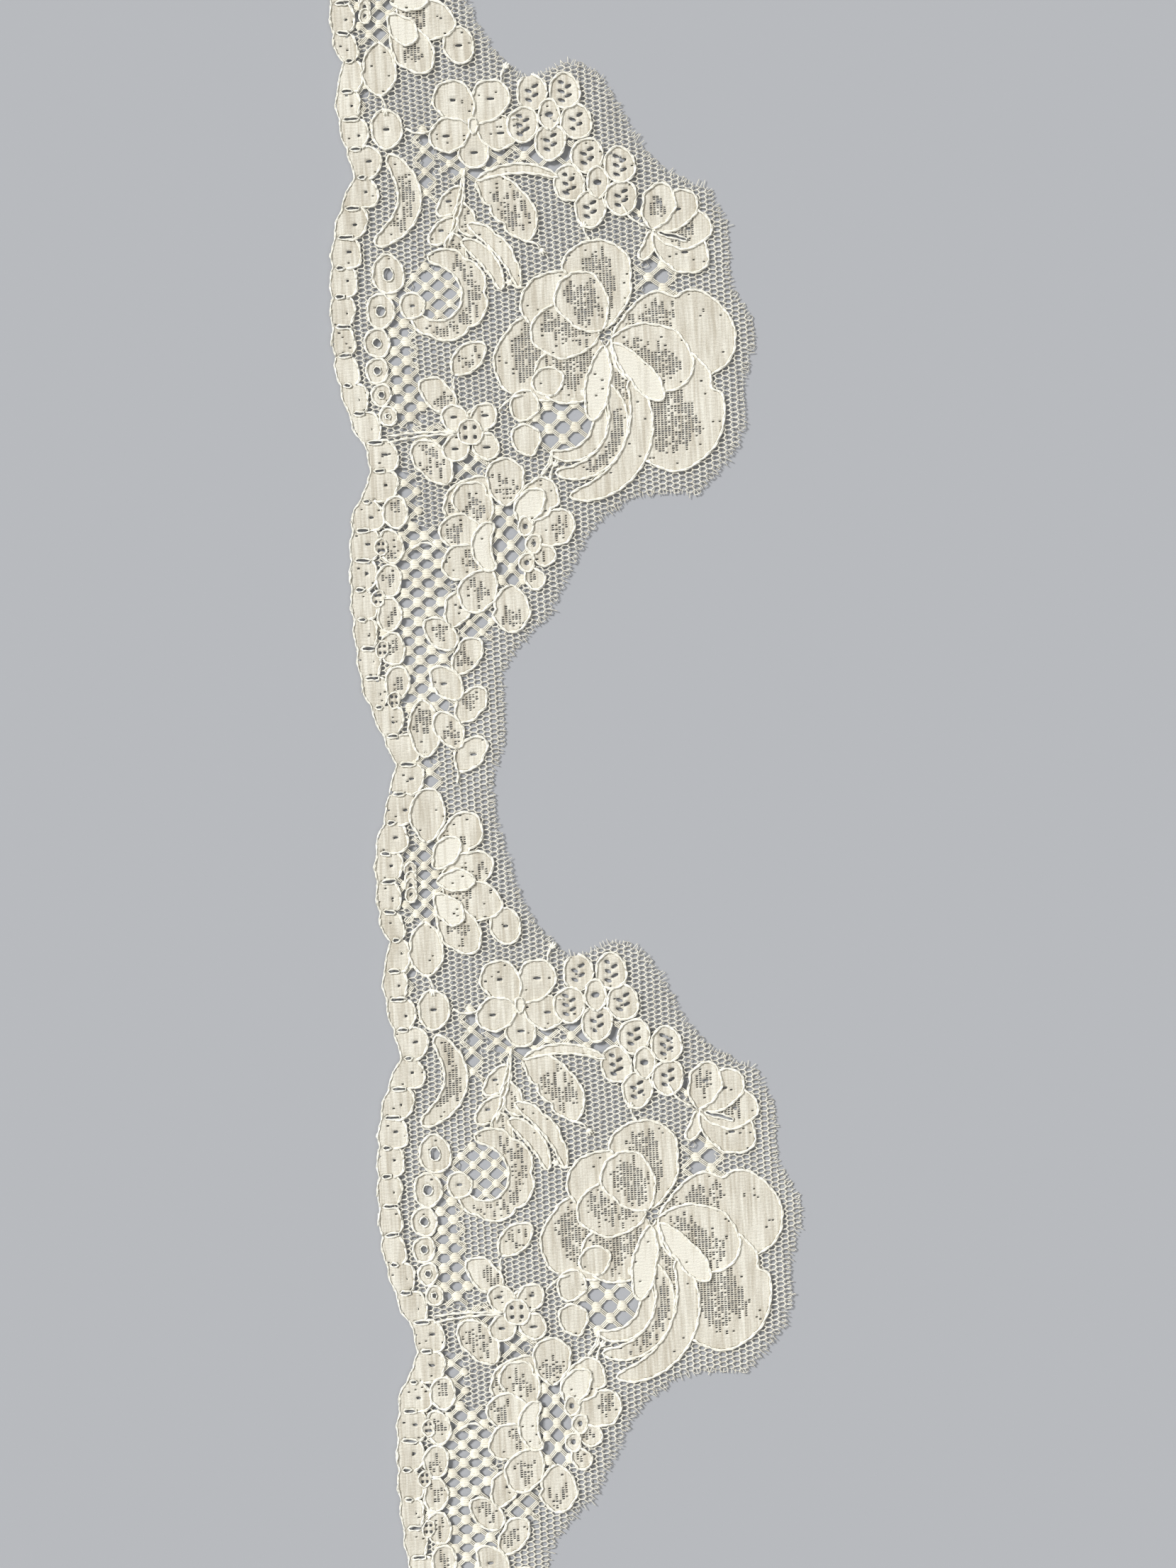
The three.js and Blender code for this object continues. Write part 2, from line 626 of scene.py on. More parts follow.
@dataclass(frozen=True)
class Whorl:
    """Petals at equal turns round a flower, from its heart towards the net by the trim's edge."""

    name: str
    centre: Middle
    count: int
    first: float
    step: float
    long: float
    heart: Pair = (0.5, 0.5)
    room: float = 1.2
    towards: float = 0.0
    longer: float = 0.0
    left_out: tuple[int, ...] = ()
    shades: tuple[Shade, ...] = (Shade.NONE,)
    lobes: tuple[tuple[int, int], ...] = PLAIN
    slot: float = 0.0
    raised: float = 0.0
    net_margin: float = 3.0
    blunt: float = 0.5
    stoutest: float = 0.78
    shortest: float = 2.0
    widest: float = 0.56
    notch: float = 0.2
    slot_at: float = 0.6

    def turn(self, i: int) -> float:
        """Return the direction of a petal, in degrees."""
        return self.first + i * self.step

    def foot(self, turn: float) -> float:
        """Find the heart's rim in one direction.

        Args:
            turn: The direction, in degrees.

        Returns:
            The rim's distance.
        """
        wide, long = self.heart
        angle = math.radians(turn)
        return wide * long / math.hypot(long * math.cos(angle), wide * math.sin(angle))

    def reach(self, turn: float, outline: TrimOutline) -> float:
        """Find how far from the middle a petal's tip lies in one direction.

        Args:
            turn: The direction, in degrees.
            outline: The trim's outer form.

        Returns:
            The tip's distance.
        """
        grown = self.long * (1 + self.longer * math.cos(math.radians(turn - self.towards)))
        room = outline.room(self.centre, turn) - self.net_margin
        return max(min(self.foot(turn) + grown, room), self.foot(turn) + self.shortest)

    def motifs(self, outline: TrimOutline) -> list[Motif]:
        """Lay the petals, each over the one before it, as wide as their turns let them be.

        Args:
            outline: The trim's outer form.

        Returns:
            The petals.
        """
        petals = []
        chord = 2 * abs(math.sin(math.radians(self.step / 2)))
        for i in range(self.count):
            if i in self.left_out:
                continue
            turn = self.turn(i)
            start, stop = self.foot(turn), self.reach(turn, outline)
            wide = min(self.room * chord * (start + stop) / 2, self.stoutest * (stop - start))
            lobes, shade = self.lobes[i % len(self.lobes)], self.shades[i % len(self.shades)]
            form = {"widest": self.widest, "tip_point": self.blunt, "lobes": lobes, "depth": self.notch}
            shape = self.centre.petal(turn, start, stop, wide, **form)
            slot = self.centre.at(turn, start + self.slot_at * (stop - start))
            holes = (dash(*slot, self.slot),) if self.slot else ()
            name = f"{self.name} {i + 1}"
            petals.append(Motif(name, shape, shade=shade, holes=holes, raised=self.raised))
        return petals


@dataclass(frozen=True)
class Spray:
    """Leaves at equal steps up a stem, on one side and the other by turns."""

    name: str
    route: Route
    count: int
    long: float
    wide: float
    spread: float = 38.0
    fade: float = 0.0
    shades: tuple[Shade, ...] = (Shade.NONE,)
    lobes: tuple[tuple[int, int], ...] = PLAIN
    slot: float = 1.1
    slot_at: float = 0.55
    foot: float = 0.2
    bend: float = 0.07

    def motifs(self) -> list[Motif]:
        """Lay the leaves from the foot of the stem up.

        Returns:
            The leaves.
        """
        line = resample(smooth_route(self.route, ROUTE_STEP), ROUTE_STEP)
        leaves = []
        for i in range(self.count):
            place = round((i + 0.5) / self.count * (len(line) - 2))
            run = line[place + 1] - line[place]
            side = 1 if i % 2 else -1
            turn = math.degrees(math.atan2(run[1], run[0])) + side * self.spread
            share = 1 - self.fade * i / self.count
            long, node = self.long * share, Middle(*line[place])
            lobes, shade = self.lobes[i % len(self.lobes)], self.shades[i % len(self.shades)]
            shape = node.petal(turn, self.foot, long, self.wide * share, bend=-self.bend * side, lobes=lobes)
            holes = () if shade.value else (dash(*node.at(turn, self.slot_at * long), self.slot),)
            leaves.append(Motif(f"{self.name} {i + 1}", shape, shade=shade, holes=holes))
        return leaves


NECK_LEAVES = Spray(
    "neck leaf",
    Middle(16, 1).bow(Middle(16, 28), -0.04),
    7,
    long=6.6,
    wide=4.2,
    shades=(Shade.NONE, Shade.FOOT, Shade.CORE),
    lobes=((0, 0), (2, 0), (0, 2)),
)
MIDDLE_LEAVES = Spray(
    "middle leaf",
    Middle(16, 40).bow(Middle(19, 68), -0.02),
    5,
    long=9,
    wide=5.4,
    spread=48,
    fade=0.3,
    shades=(Shade.FOOT, Shade.VEINS, Shade.NONE),
    lobes=((0, 2), (0, 0), (2, 0)),
)
STEM_LEAVES = Spray(
    "stem leaf",
    OPEN_FLOWER.stem(8, SCROLL, 9, 0.03),
    4,
    long=6,
    wide=3.2,
    spread=34,
    shades=(Shade.NONE, Shade.CORE),
)
LOWER_PETALS = Whorl(
    "lower flower petal",
    LOWER_FLOWER,
    10,
    first=90,
    step=36,
    long=7.5,
    heart=(3.4, 6.2),
    room=1.25,
    shades=(Shade.FOOT, Shade.CORE, Shade.HEAD),
    lobes=((0, 0), (0, 2), (0, 0), (2, 0)),
)
SMALL_PETALS = Whorl("small flower petal", SMALL_FLOWER, 4, first=45, step=90, long=5, room=1.25, slot=1.3)
OPEN_PETALS = Whorl(
    "open flower petal", OPEN_FLOWER, 5, first=270, step=72, long=7, towards=90, longer=0.12, slot=1.3
)
BUD_PETALS = Whorl(
    "bud petal",
    BUD,
    4,
    first=-35,
    step=36,
    long=10,
    heart=(0.3, 0.3),
    room=2.1,
    shades=(Shade.NONE, Shade.CORE),
    lobes=((0, 2), (2, 0)),
    slot=1.2,
    net_margin=2.2,
)
OUTER_ROSE = Whorl(
    "outer rose petal",
    ROSE,
    6,
    first=196,
    step=-50,
    long=19,
    heart=(1, 1),
    room=1.9,
    towards=-55,
    longer=0.3,
    left_out=(3,),
    shades=(Shade.BROAD, Shade.FOOT, Shade.LONG),
    lobes=((0, 2), (2, 2), (3, 0)),
    net_margin=3.2,
    blunt=0.36,
)
INNER_ROSE = Whorl(
    "inner rose petal",
    ROSE,
    6,
    first=221,
    step=-50,
    long=12,
    heart=(1, 1),
    room=1.7,
    towards=-55,
    longer=0.15,
    left_out=(3, 4),
    shades=(Shade.BROAD, Shade.LONG),
    lobes=((0, 0), (0, 2)),
    blunt=0.4,
)
ROSE_FOLDS = Whorl(
    "rose fold",
    ROSE,
    2,
    first=258,
    step=50,
    long=12,
    heart=(1.5, 1.5),
    lobes=((2, 0), (0, 2)),
    raised=0.12,
    stoutest=0.32,
)
HEART_LEAVES = Whorl(
    "rose heart leaf", ROSE_HEART, 3, first=110, step=46, long=4.6, heart=(4.4, 4.4), stoutest=1.1
)
NECK_PETALS = Whorl(
    "neck flower petal",
    NECK_FLOWER,
    6,
    first=84,
    step=-35,
    long=8.5,
    heart=(3, 6.2),
    room=1.3,
    longer=0.15,
    shades=(Shade.NONE, Shade.FOOT, Shade.BESIDE, Shade.FOOT, Shade.CORE),
    lobes=((0, 0), (0, 2), (0, 0), (2, 0)),
    net_margin=2.4,
    stoutest=0.64,
)
NECK_FOLDS = Whorl(
    "neck flower fold", NECK_FLOWER, 3, first=50, step=-50, long=6, heart=(2, 4), room=0.8, raised=0.1
)
TAILED_PETALS = ((OUTER_ROSE, 1), (OUTER_ROSE, 2), (LOWER_PETALS, 9), (OPEN_PETALS, 2), (NECK_PETALS, 5))


@dataclass(frozen=True)
class Pattern:
    """One repeat of the design: its motifs in the order in which they lie on each other."""

    outline: TrimOutline
    lobes: int = 30
    lobe_wide: float = 4.4
    lobe_swell: float = 0.7
    swells: int = 3
    edge_band: float = 2.3
    ovals: int = 6
    oval_pitch: float = 5.3
    first_oval: float = 17.5
    rings_in_row: int = 6
    first_ring: Pair = (5.0, 6.0)
    ring_step: float = 0.88
    ring_inset: float = 2.2
    tail: float = 2.2

    def fillings(self) -> list[Lattice]:
        """List the places with a filling, and where one of each one's gaps lies.

        Returns:
            The fillings.
        """
        under_open = OPEN_FLOWER.arc(6, 215, 325)
        under_round = ROUND_FLOWERS[0].arc(6.5, 225, 305)
        strip = Middle(16, 92).bow(Middle(16, 104), 0)
        return [
            Lattice("side panel", Band(self._beside_edge(12, 42, 6), 11, 0.3), (11.3, 19.4)),
            Lattice("heart of lower flower", LOWER_FLOWER.oval(8, 14), (26.4, 40), 1.7, 1.85, 0.85),
            Lattice("heart of rose", ROSE_HEART.oval(11, 11), (35.5, 59.7), 2.05, 1.85, 0.85),
            Lattice("heart of neck flower", NECK_FLOWER.oval(7, 14), (10.2, 122.1), 1.6, 1.5, 0.85),
            Lattice("ground by rings", Band(self._beside_edge(57, 80, 5.5), 7), (11.7, 72.3)),
            Lattice("ground in scroll", SCROLL.oval(10, 11), (18.9, 77.8), 1.75, 1.5, 0.8),
            Lattice("chain by bud", Oval(51.5, 78, 5, 9.5), (50.3, 80.6), 2.3, 1.8, 0.75),
            Lattice("chain over stem", Band(under_open, 6, 0.3), (26.1, 98.4), 2, 1.5, 0.7),
            Lattice("chain under flowers", Band(under_round, 5), (38.5, 98.8), 2.2, 1.9, 0.7),
            Lattice("chain above bud", Oval(49.5, 90, 5, 3.5), (49.5, 90.4), 2.1, 1.6, 0.6),
            Lattice("strip by pocket", Band(strip, 3), (16.1, 98.9), 1.8, 1.65, 0.7),
            Lattice("chain by small leaves", Oval(10.5, 46.5, 4.5, 9), (10.4, 47.1), 1.9, 1.5, 0.75),
            Lattice("chain under flower", Oval(20.5, 51, 4.5, 5.5), (20.2, 52), 1.8, 1.5, 0.75),
            Lattice("chain at neck", Oval(11, 2.5, 5, 8), (11.8, 1.8), 1.9, 1.5, 0.8),
            Lattice("chain at leaves", Oval(20.5, 26, 4.5, 8.5), (21.1, 26.2), 1.7, 1.5, 0.75),
            Lattice("chain at lobes", Oval(6, 111, 4, 9), (5.9, 111.2), 1.6, 1.7, 0.7),
            Lattice("chain at bar", Oval(15, 55, 6, 4), (15.5, 56), 1.8, 1.5, 0.8),
        ]

    def _lobe(self, along: float) -> Pair:
        """Return where the lobed edge lies at a height, and how wide its lobes are there."""
        swell = self.lobe_swell * math.cos(2 * math.pi * self.swells * along / REPEAT)
        return self.outline.lobed_edge(along), self.lobe_wide + swell

    def _within(self, along: float, more: float) -> float:
        """Return how far across a place lies, so far inside the edge lobes at a height."""
        edge, wide = self._lobe(along)
        return edge + wide + more

    def _beside_edge(self, low: float, high: float, more: float) -> Route:
        """Lay a route up the trim from one height to another, so far inside the edge lobes."""
        return tuple((self._within(along, more), along) for along in np.linspace(low, high, 6))

    def edge_lobes(self) -> list[Motif]:
        """Lay the lobes down the lobed edge, under a band that carries their slits.

        Returns:
            The motifs.
        """
        pitch = REPEAT / self.lobes
        motifs = []
        for i in range(self.lobes):
            along = (i + 0.5) * pitch
            edge, wide = self._lobe(along)
            across = edge + wide / 2
            hole = dash(across + 0.12 * wide, along + 0.3 * math.sin(1.9 * i), 0.9)
            shape = Oval(across, along, wide, pitch + 0.5, 9 * math.sin(2.3 * i), 0.045, 0.82)
            motifs.append(Motif(f"edge lobe {i + 1}", shape, holes=(hole,)))
        middle = self.edge_band / 2 - 0.15
        heights = [i * pitch for i in range(self.lobes + 1)]
        route = tuple((self.outline.lobed_edge(along) + middle, along) for along in heights)
        motifs.append(Motif("edge band", Band(route, self.edge_band, 0.02), cord=0))
        for i, along in enumerate(heights[:-1]):
            start = (self.outline.lobed_edge(along) + 0.5, along)
            stop = (start[0] + 2.0 + 0.7 * math.sin(1.7 * i), along + 0.2 * math.sin(3.1 * i))
            motifs.append(slit(f"edge slit {i + 1}", start, stop))
        return motifs

    def inner_ovals(self) -> list[Motif]:
        """Lay the row of ovals inside the edge lobes, with small diamonds between them.

        Returns:
            The motifs.
        """
        motifs = []
        for i in range(self.ovals):
            along = self.first_oval + self.oval_pitch * i
            shape = Oval(self._within(along, 1.8), along, 3.8, 5.2, 8 * math.sin(2 * i))
            motifs.append(Motif(f"inner oval {i + 1}", shape, shade=Shade.CORE))
        along = self.first_oval - 1.4 * self.oval_pitch
        leaf = Middle(self._within(along, 2.5), along).petal(-90, -4.5, 4.5, 5, lobes=(2, 0))
        motifs.append(Motif("inner leaf", leaf, shade=Shade.FOOT))
        for i in range(4):
            along = self.first_oval + self.oval_pitch * (1.5 * i - 0.5)
            across = self._within(along, 0.2)
            holes = self._four_holes(Middle(across, along), 0.34, 0.5, 0.55)
            diamond = Oval(across, along, 1.9, 2.8, -10)
            motifs.append(Motif(f"open diamond {i + 1}", diamond, cord=0.28, holes=holes))
        return motifs

    def _four_holes(self, centre: Middle, aside: float, above: float, wide: float) -> tuple[Oval, ...]:
        """Make four small holes round a middle."""
        ways = [(s, r) for s in (-1, 1) for r in (-1, 1)]
        return tuple(Oval(centre.across + s * aside, centre.along + r * above, wide, wide) for s, r in ways)

    def _leaning_slots(self, across: float, along: float, count: int) -> tuple[Oval, ...]:
        """Make a column of small slots that lean one way and the other by turns.

        Args:
            across: The column's middle, across.
            along: Its middle, along.
            count: How many slots it has.

        Returns:
            The slots.
        """
        slots = []
        for i in range(count):
            side = 1 if i % 2 else -1
            height = along + 0.72 * (i - (count - 1) / 2)
            slots.append(Oval(across + 0.55 * side, height, 1.25, 0.55, 24 * side))
        return tuple(slots)

    def rings(self) -> list[Motif]:
        """Lay the row of rings that falls towards the edge lobes, each smaller than the last.

        Returns:
            The motifs.
        """
        motifs = []
        wide, long = self.first_ring
        along = SCROLL.along + 7.4
        for i in range(self.rings_in_row):
            along -= long / 2
            inset = self.ring_inset * (1 - i / self.rings_in_row)
            across = self._within(along, wide / 2 + inset)
            eyelet = Oval(across, along, 0.36 * wide, 0.36 * long)
            motifs.append(Motif(f"ring {i + 1}", Oval(across, along, wide, long)))
            motifs.append(Motif(f"ring {i + 1} eyelet", eyelet, Work.GAP, 0.26))
            along -= long / 2
            wide, long = wide * self.ring_step, long * self.ring_step
        return motifs

    def lower_flower(self) -> list[Motif]:
        """Lay the lower flower: ten petals, two folds and three stamens round its open heart.

        Returns:
            The motifs.
        """
        side = Band(LOWER_FLOWER.arc(4.2, 120, 240), 3, 0.45)
        over = LOWER_FLOWER.petal(LOWER_PETALS.turn(9), 4, 10, 4.2, bend=0.1)
        motifs = LOWER_PETALS.motifs(self.outline)
        for i, fold in enumerate((side, over)):
            motifs.append(Motif(f"lower flower fold {i + 1}", fold, raised=0.1))
        for i in range(3):
            across, along = LOWER_FLOWER.at(45 - 45 * i, 4)
            eye = Oval(across, along, 0.8, 0.9)
            motifs.append(Motif(f"stamen {i + 1}", Oval(across, along, 2.4, 3), holes=(eye,)))
        return motifs

    def small_flower(self) -> list[Motif]:
        """Lay the small four-petalled flower round its eye.

        Returns:
            The motifs.
        """
        holes = self._four_holes(SMALL_FLOWER, 0.75, 0.75, 0.7)
        eye = Motif("small flower eye", SMALL_FLOWER.oval(4, 4), cord=0.36, holes=holes)
        return [*SMALL_PETALS.motifs(self.outline), eye]

    def scroll(self) -> list[Motif]:
        """Lay the scroll, which winds in to its head, and the two bands that follow its back.

        Returns:
            The motifs.
        """
        wind = SCROLL.arc(7, 100, -170, 4)
        motifs = [
            Motif("scroll", Band(wind, 4, 0.4, -0.2, (5, 0), 0.4), shade=Shade.LONG),
            Motif("scroll head", Oval(*wind[-1], 4, 4), holes=(dash(*wind[-1]),)),
        ]
        for i in range(2):
            back = Band(SCROLL.arc(10 + 2.8 * i, 65, 5), 2.4, 0.45, -0.2, (3 * i, 0), 0.35)
            motifs.append(Motif(f"scroll band {i + 1}", back))
        return motifs

    def pocket_oval(self) -> Oval:
        """Shape the oval at the top of the pocket of net."""
        along = OPEN_FLOWER.along
        return Oval(self._within(along, 3), along, 5, 6)

    def pocket(self) -> list[Motif]:
        """Lay the oval over the pocket of net, and the band that bows round it to the rings.

        Returns:
            The motifs.
        """
        oval = self.pocket_oval()
        foot = SCROLL.along + 9
        route = Middle(oval.across, oval.along - 4).bow(Middle(self._within(foot, 2), foot), 0.3)
        return [
            Motif("pocket band", Band(route, 3.6, 0.35), shade=Shade.LONG),
            Motif("oval over pocket", oval, holes=(dash(oval.across, oval.along, 1.3),)),
        ]

    def big_leaf(self) -> Petal:
        """Shape the big leaf that hangs from the open flower towards the rose.

        Returns:
            The leaf.
        """
        foot = Middle(*OPEN_FLOWER.at(270, 8.5))
        long = 0.4 * math.dist((foot.across, foot.along), (ROSE.across, ROSE.along))
        return foot.petal(foot.aim(ROSE), 0, long, long / 2, bend=0.12, lobes=(0, 3), tip_point=0.6)

    def open_flower(self) -> list[Motif]:
        """Lay the five-petalled flower above the stem."""
        heart = Motif("open flower heart", OPEN_FLOWER.oval(1.5, 2.5), cord=0.36, raised=0.08)
        return [*OPEN_PETALS.motifs(self.outline), heart]

    def round_flower(self, number: int, centre: Middle, first: float) -> list[Motif]:
        """Lay a round flower of five pierced ovals round a drop.

        Args:
            number: Which of the round flowers it is.
            centre: Its middle.
            first: Direction of its first oval.

        Returns:
            The ovals and the drop.
        """
        motifs = []
        for i in range(5):
            across, along = centre.at(72 * i + first, 4.4)
            holes = self._leaning_slots(across, along, 4 + i % 2)
            shape = Oval(across, along, 4.8, 5.6)
            motifs.append(Motif(f"round flower {number} oval {i + 1}", shape, holes=holes))
        hole = centre.oval(1.3, 0.9)
        drop = centre.petal(90, -2.5, 2.5, 3.3)
        motifs.append(Motif(f"round flower {number} drop", drop, holes=(hole,)))
        return motifs

    def bud(self) -> list[Motif]:
        """Lay the bud at the scalloped edge, its stem and the band under the round flowers.

        Returns:
            The motifs.
        """
        under = Middle(*self.big_leaf().base).bow(Middle(*ROUND_FLOWERS[1].at(170, 6)), 0.12)
        between = BUD_PETALS.first + BUD_PETALS.step / 2
        return [
            Motif("band under round flowers", Band(under, 1.5, 0.5)),
            Motif("bud stem", Band(BUD.stem(0, ROSE, 13, 0.15), 2, 0.4)),
            *BUD_PETALS.motifs(self.outline),
            slit("bud slit", BUD.at(between, 1), BUD.at(between, 6)),
        ]

    def rose(self) -> list[Motif]:
        """Lay the rose: outer and inner petals round its throat, bands round its heart, folds.

        Returns:
            The motifs.
        """
        body = Oval(ROSE.across + 8, ROSE.along - 9, 17, 22)
        motifs = [Motif("rose body", body, cord=0)]
        motifs += OUTER_ROSE.motifs(self.outline) + INNER_ROSE.motifs(self.outline)
        rim = 4.3
        bands = []
        for i in range(3):
            wide = 2.4 + 0.8 * i
            route = ROSE_HEART.arc(rim + wide / 2, 60 - 15 * i, -120 + 15 * i)
            shade = Shade.BROAD if i == 1 else Shade.NONE
            bands.append(Motif(f"band round rose heart {i + 1}", Band(route, wide, 0.45), shade=shade))
            rim += wide
        motifs += bands[::-1] + HEART_LEAVES.motifs(self.outline)
        return motifs + ROSE_FOLDS.motifs(self.outline)

    def neck_flower(self) -> list[Motif]:
        """Lay the flower above the neck: six petals, three folds and a row of rings.

        Returns:
            The motifs.
        """
        motifs = NECK_PETALS.motifs(self.outline) + NECK_FOLDS.motifs(self.outline)
        for i in range(4):
            turn = 135 + 30 * i
            across, along = NECK_FLOWER.at(turn, NECK_PETALS.foot(turn) - 1)
            ring, eye = Oval(across, along, 1.8, 2.5), Oval(across, along, 0.6, 0.9)
            motifs.append(Motif(f"neck ring {i + 1}", ring, cord=0.32, holes=(eye,)))
        return motifs

    def flanking_oval(self) -> Motif:
        """Lay an oval beside the way from the neck flower to the open flower.

        Returns:
            The oval.
        """
        across = (NECK_FLOWER.across + OPEN_FLOWER.across) / 2
        between = Middle(across, (NECK_FLOWER.along + OPEN_FLOWER.along) / 2)
        place = between.at(25, 6)
        return Motif("flanking oval", Oval(*place, 4.6, 5.8, 15), holes=(dash(*place, 1.2),))

    def motifs(self) -> list[Motif]:
        """List the motifs of one repeat, each over the ones before it.

        Returns:
            The motifs, lowest first.
        """
        return [
            *self.edge_lobes(),
            *self.inner_ovals(),
            *NECK_LEAVES.motifs(),
            *self.pocket(),
            *STEM_LEAVES.motifs(),
            *self.scroll(),
            *self.rings(),
            *MIDDLE_LEAVES.motifs(),
            *self.small_flower(),
            *self.lower_flower(),
            self.flanking_oval(),
            *self.open_flower(),
            *self.round_flower(1, ROUND_FLOWERS[0], -18),
            *self.round_flower(2, ROUND_FLOWERS[1], -36),
            Motif("big leaf", self.big_leaf(), shade=Shade.VEINS),
            *self.bud(),
            *self.rose(),
            *self.neck_flower(),
        ]

    def _tails(self) -> list[Tendril]:
        """Lay the short tails that run out into the net from the big leaf and some petals.

        Returns:
            The tails.
        """
        leaf = self.big_leaf()
        tips = [(Middle(*leaf.tip), Middle(*leaf.base).aim(Middle(*leaf.tip)))]
        for whorl, i in TAILED_PETALS:
            turn = whorl.turn(i)
            tips.append((Middle(*whorl.centre.at(turn, whorl.reach(turn, self.outline))), turn))
        tails = []
        for i, (tip, turn) in enumerate(tips):
            tails.append(Tendril(f"tail {i + 1}", tip.bow(Middle(*tip.at(turn + 20, self.tail)), 0.12)))
        return tails

    def tendrils(self) -> list[Tendril]:
        """List the loose stems of one repeat, the stems of its sprays and the tails.

        Returns:
            The cords.
        """
        oval = self.pocket_oval()
        bar = Middle(self._within(SMALL_FLOWER.along, 0), SMALL_FLOWER.along)
        panel = Middle(self._within(LOWER_FLOWER.along, 5), LOWER_FLOWER.along)
        stems = {
            "bar": bar.stem(0, SMALL_FLOWER, 2, 0.03),
            "bar below": Middle(bar.across, bar.along - 1).stem(0, SMALL_FLOWER, 2.5, 0.03),
            "long tendril": SMALL_FLOWER.stem(5.6, ROSE, 16, 0.12),
            "rose stem": ROSE_HEART.stem(5, LOWER_FLOWER, 12, 0.06),
            "rose stem again": ROSE_HEART.stem(5, LOWER_FLOWER, 12, 0.14),
            "double stem": OPEN_FLOWER.stem(7, SCROLL, 9, 0),
            "double stem again": OPEN_FLOWER.stem(7, SCROLL, 9, 0.06),
            "loop by pocket": Middle(oval.across, oval.along).stem(3, OPEN_FLOWER, 6, -0.2),
            "stem to round flowers": OPEN_FLOWER.stem(7, ROUND_FLOWERS[0], 6, -0.3),
            "stem to bud": ROUND_FLOWERS[1].stem(5, BUD, 1, -0.12),
            "panel stem": panel.stem(0, LOWER_FLOWER, 11, 0.25),
        }
        loose = [Tendril(name, route) for name, route in stems.items()]
        for spray in (NECK_LEAVES, MIDDLE_LEAVES):
            loose.append(Tendril(f"{spray.name} stem", spray.route, under=True))
        return loose + self._tails()

    def tufts(self) -> list[tuple[Pair, float]]:
        """List where each tail is clipped to a tuft, and which way it points, in degrees."""
        return [(t.route[-1], Middle(*t.route[-2]).aim(Middle(*t.route[-1]))) for t in self._tails()]


# ---- the chart


def inside(outline: Array, across: Array, along: Array) -> Array:
    """Say which places lie inside a closed outline.

    Args:
        outline: The outline's points.
        across: Places, across.
        along: Places, along.

    Returns:
        True for each place inside.
    """
    result = np.zeros(across.shape, bool)
    following = np.roll(outline, -1, axis=0)
    for (x0, y0), (x1, y1) in zip(outline, following):
        if y0 == y1:
            continue
        crosses = (along < y0) != (along < y1)
        result ^= crosses & (across < x0 + (along - y0) / (y1 - y0) * (x1 - x0))
    return result


@dataclass(frozen=True)
class Window:
    """A part of the chart, with its places across and along."""

    cells: tuple[slice, slice]
    across: Array
    along: Array

    def covered(self, points: Array) -> Array:
        """Say which of its places an outline covers."""
        return inside(points, self.across, self.along)


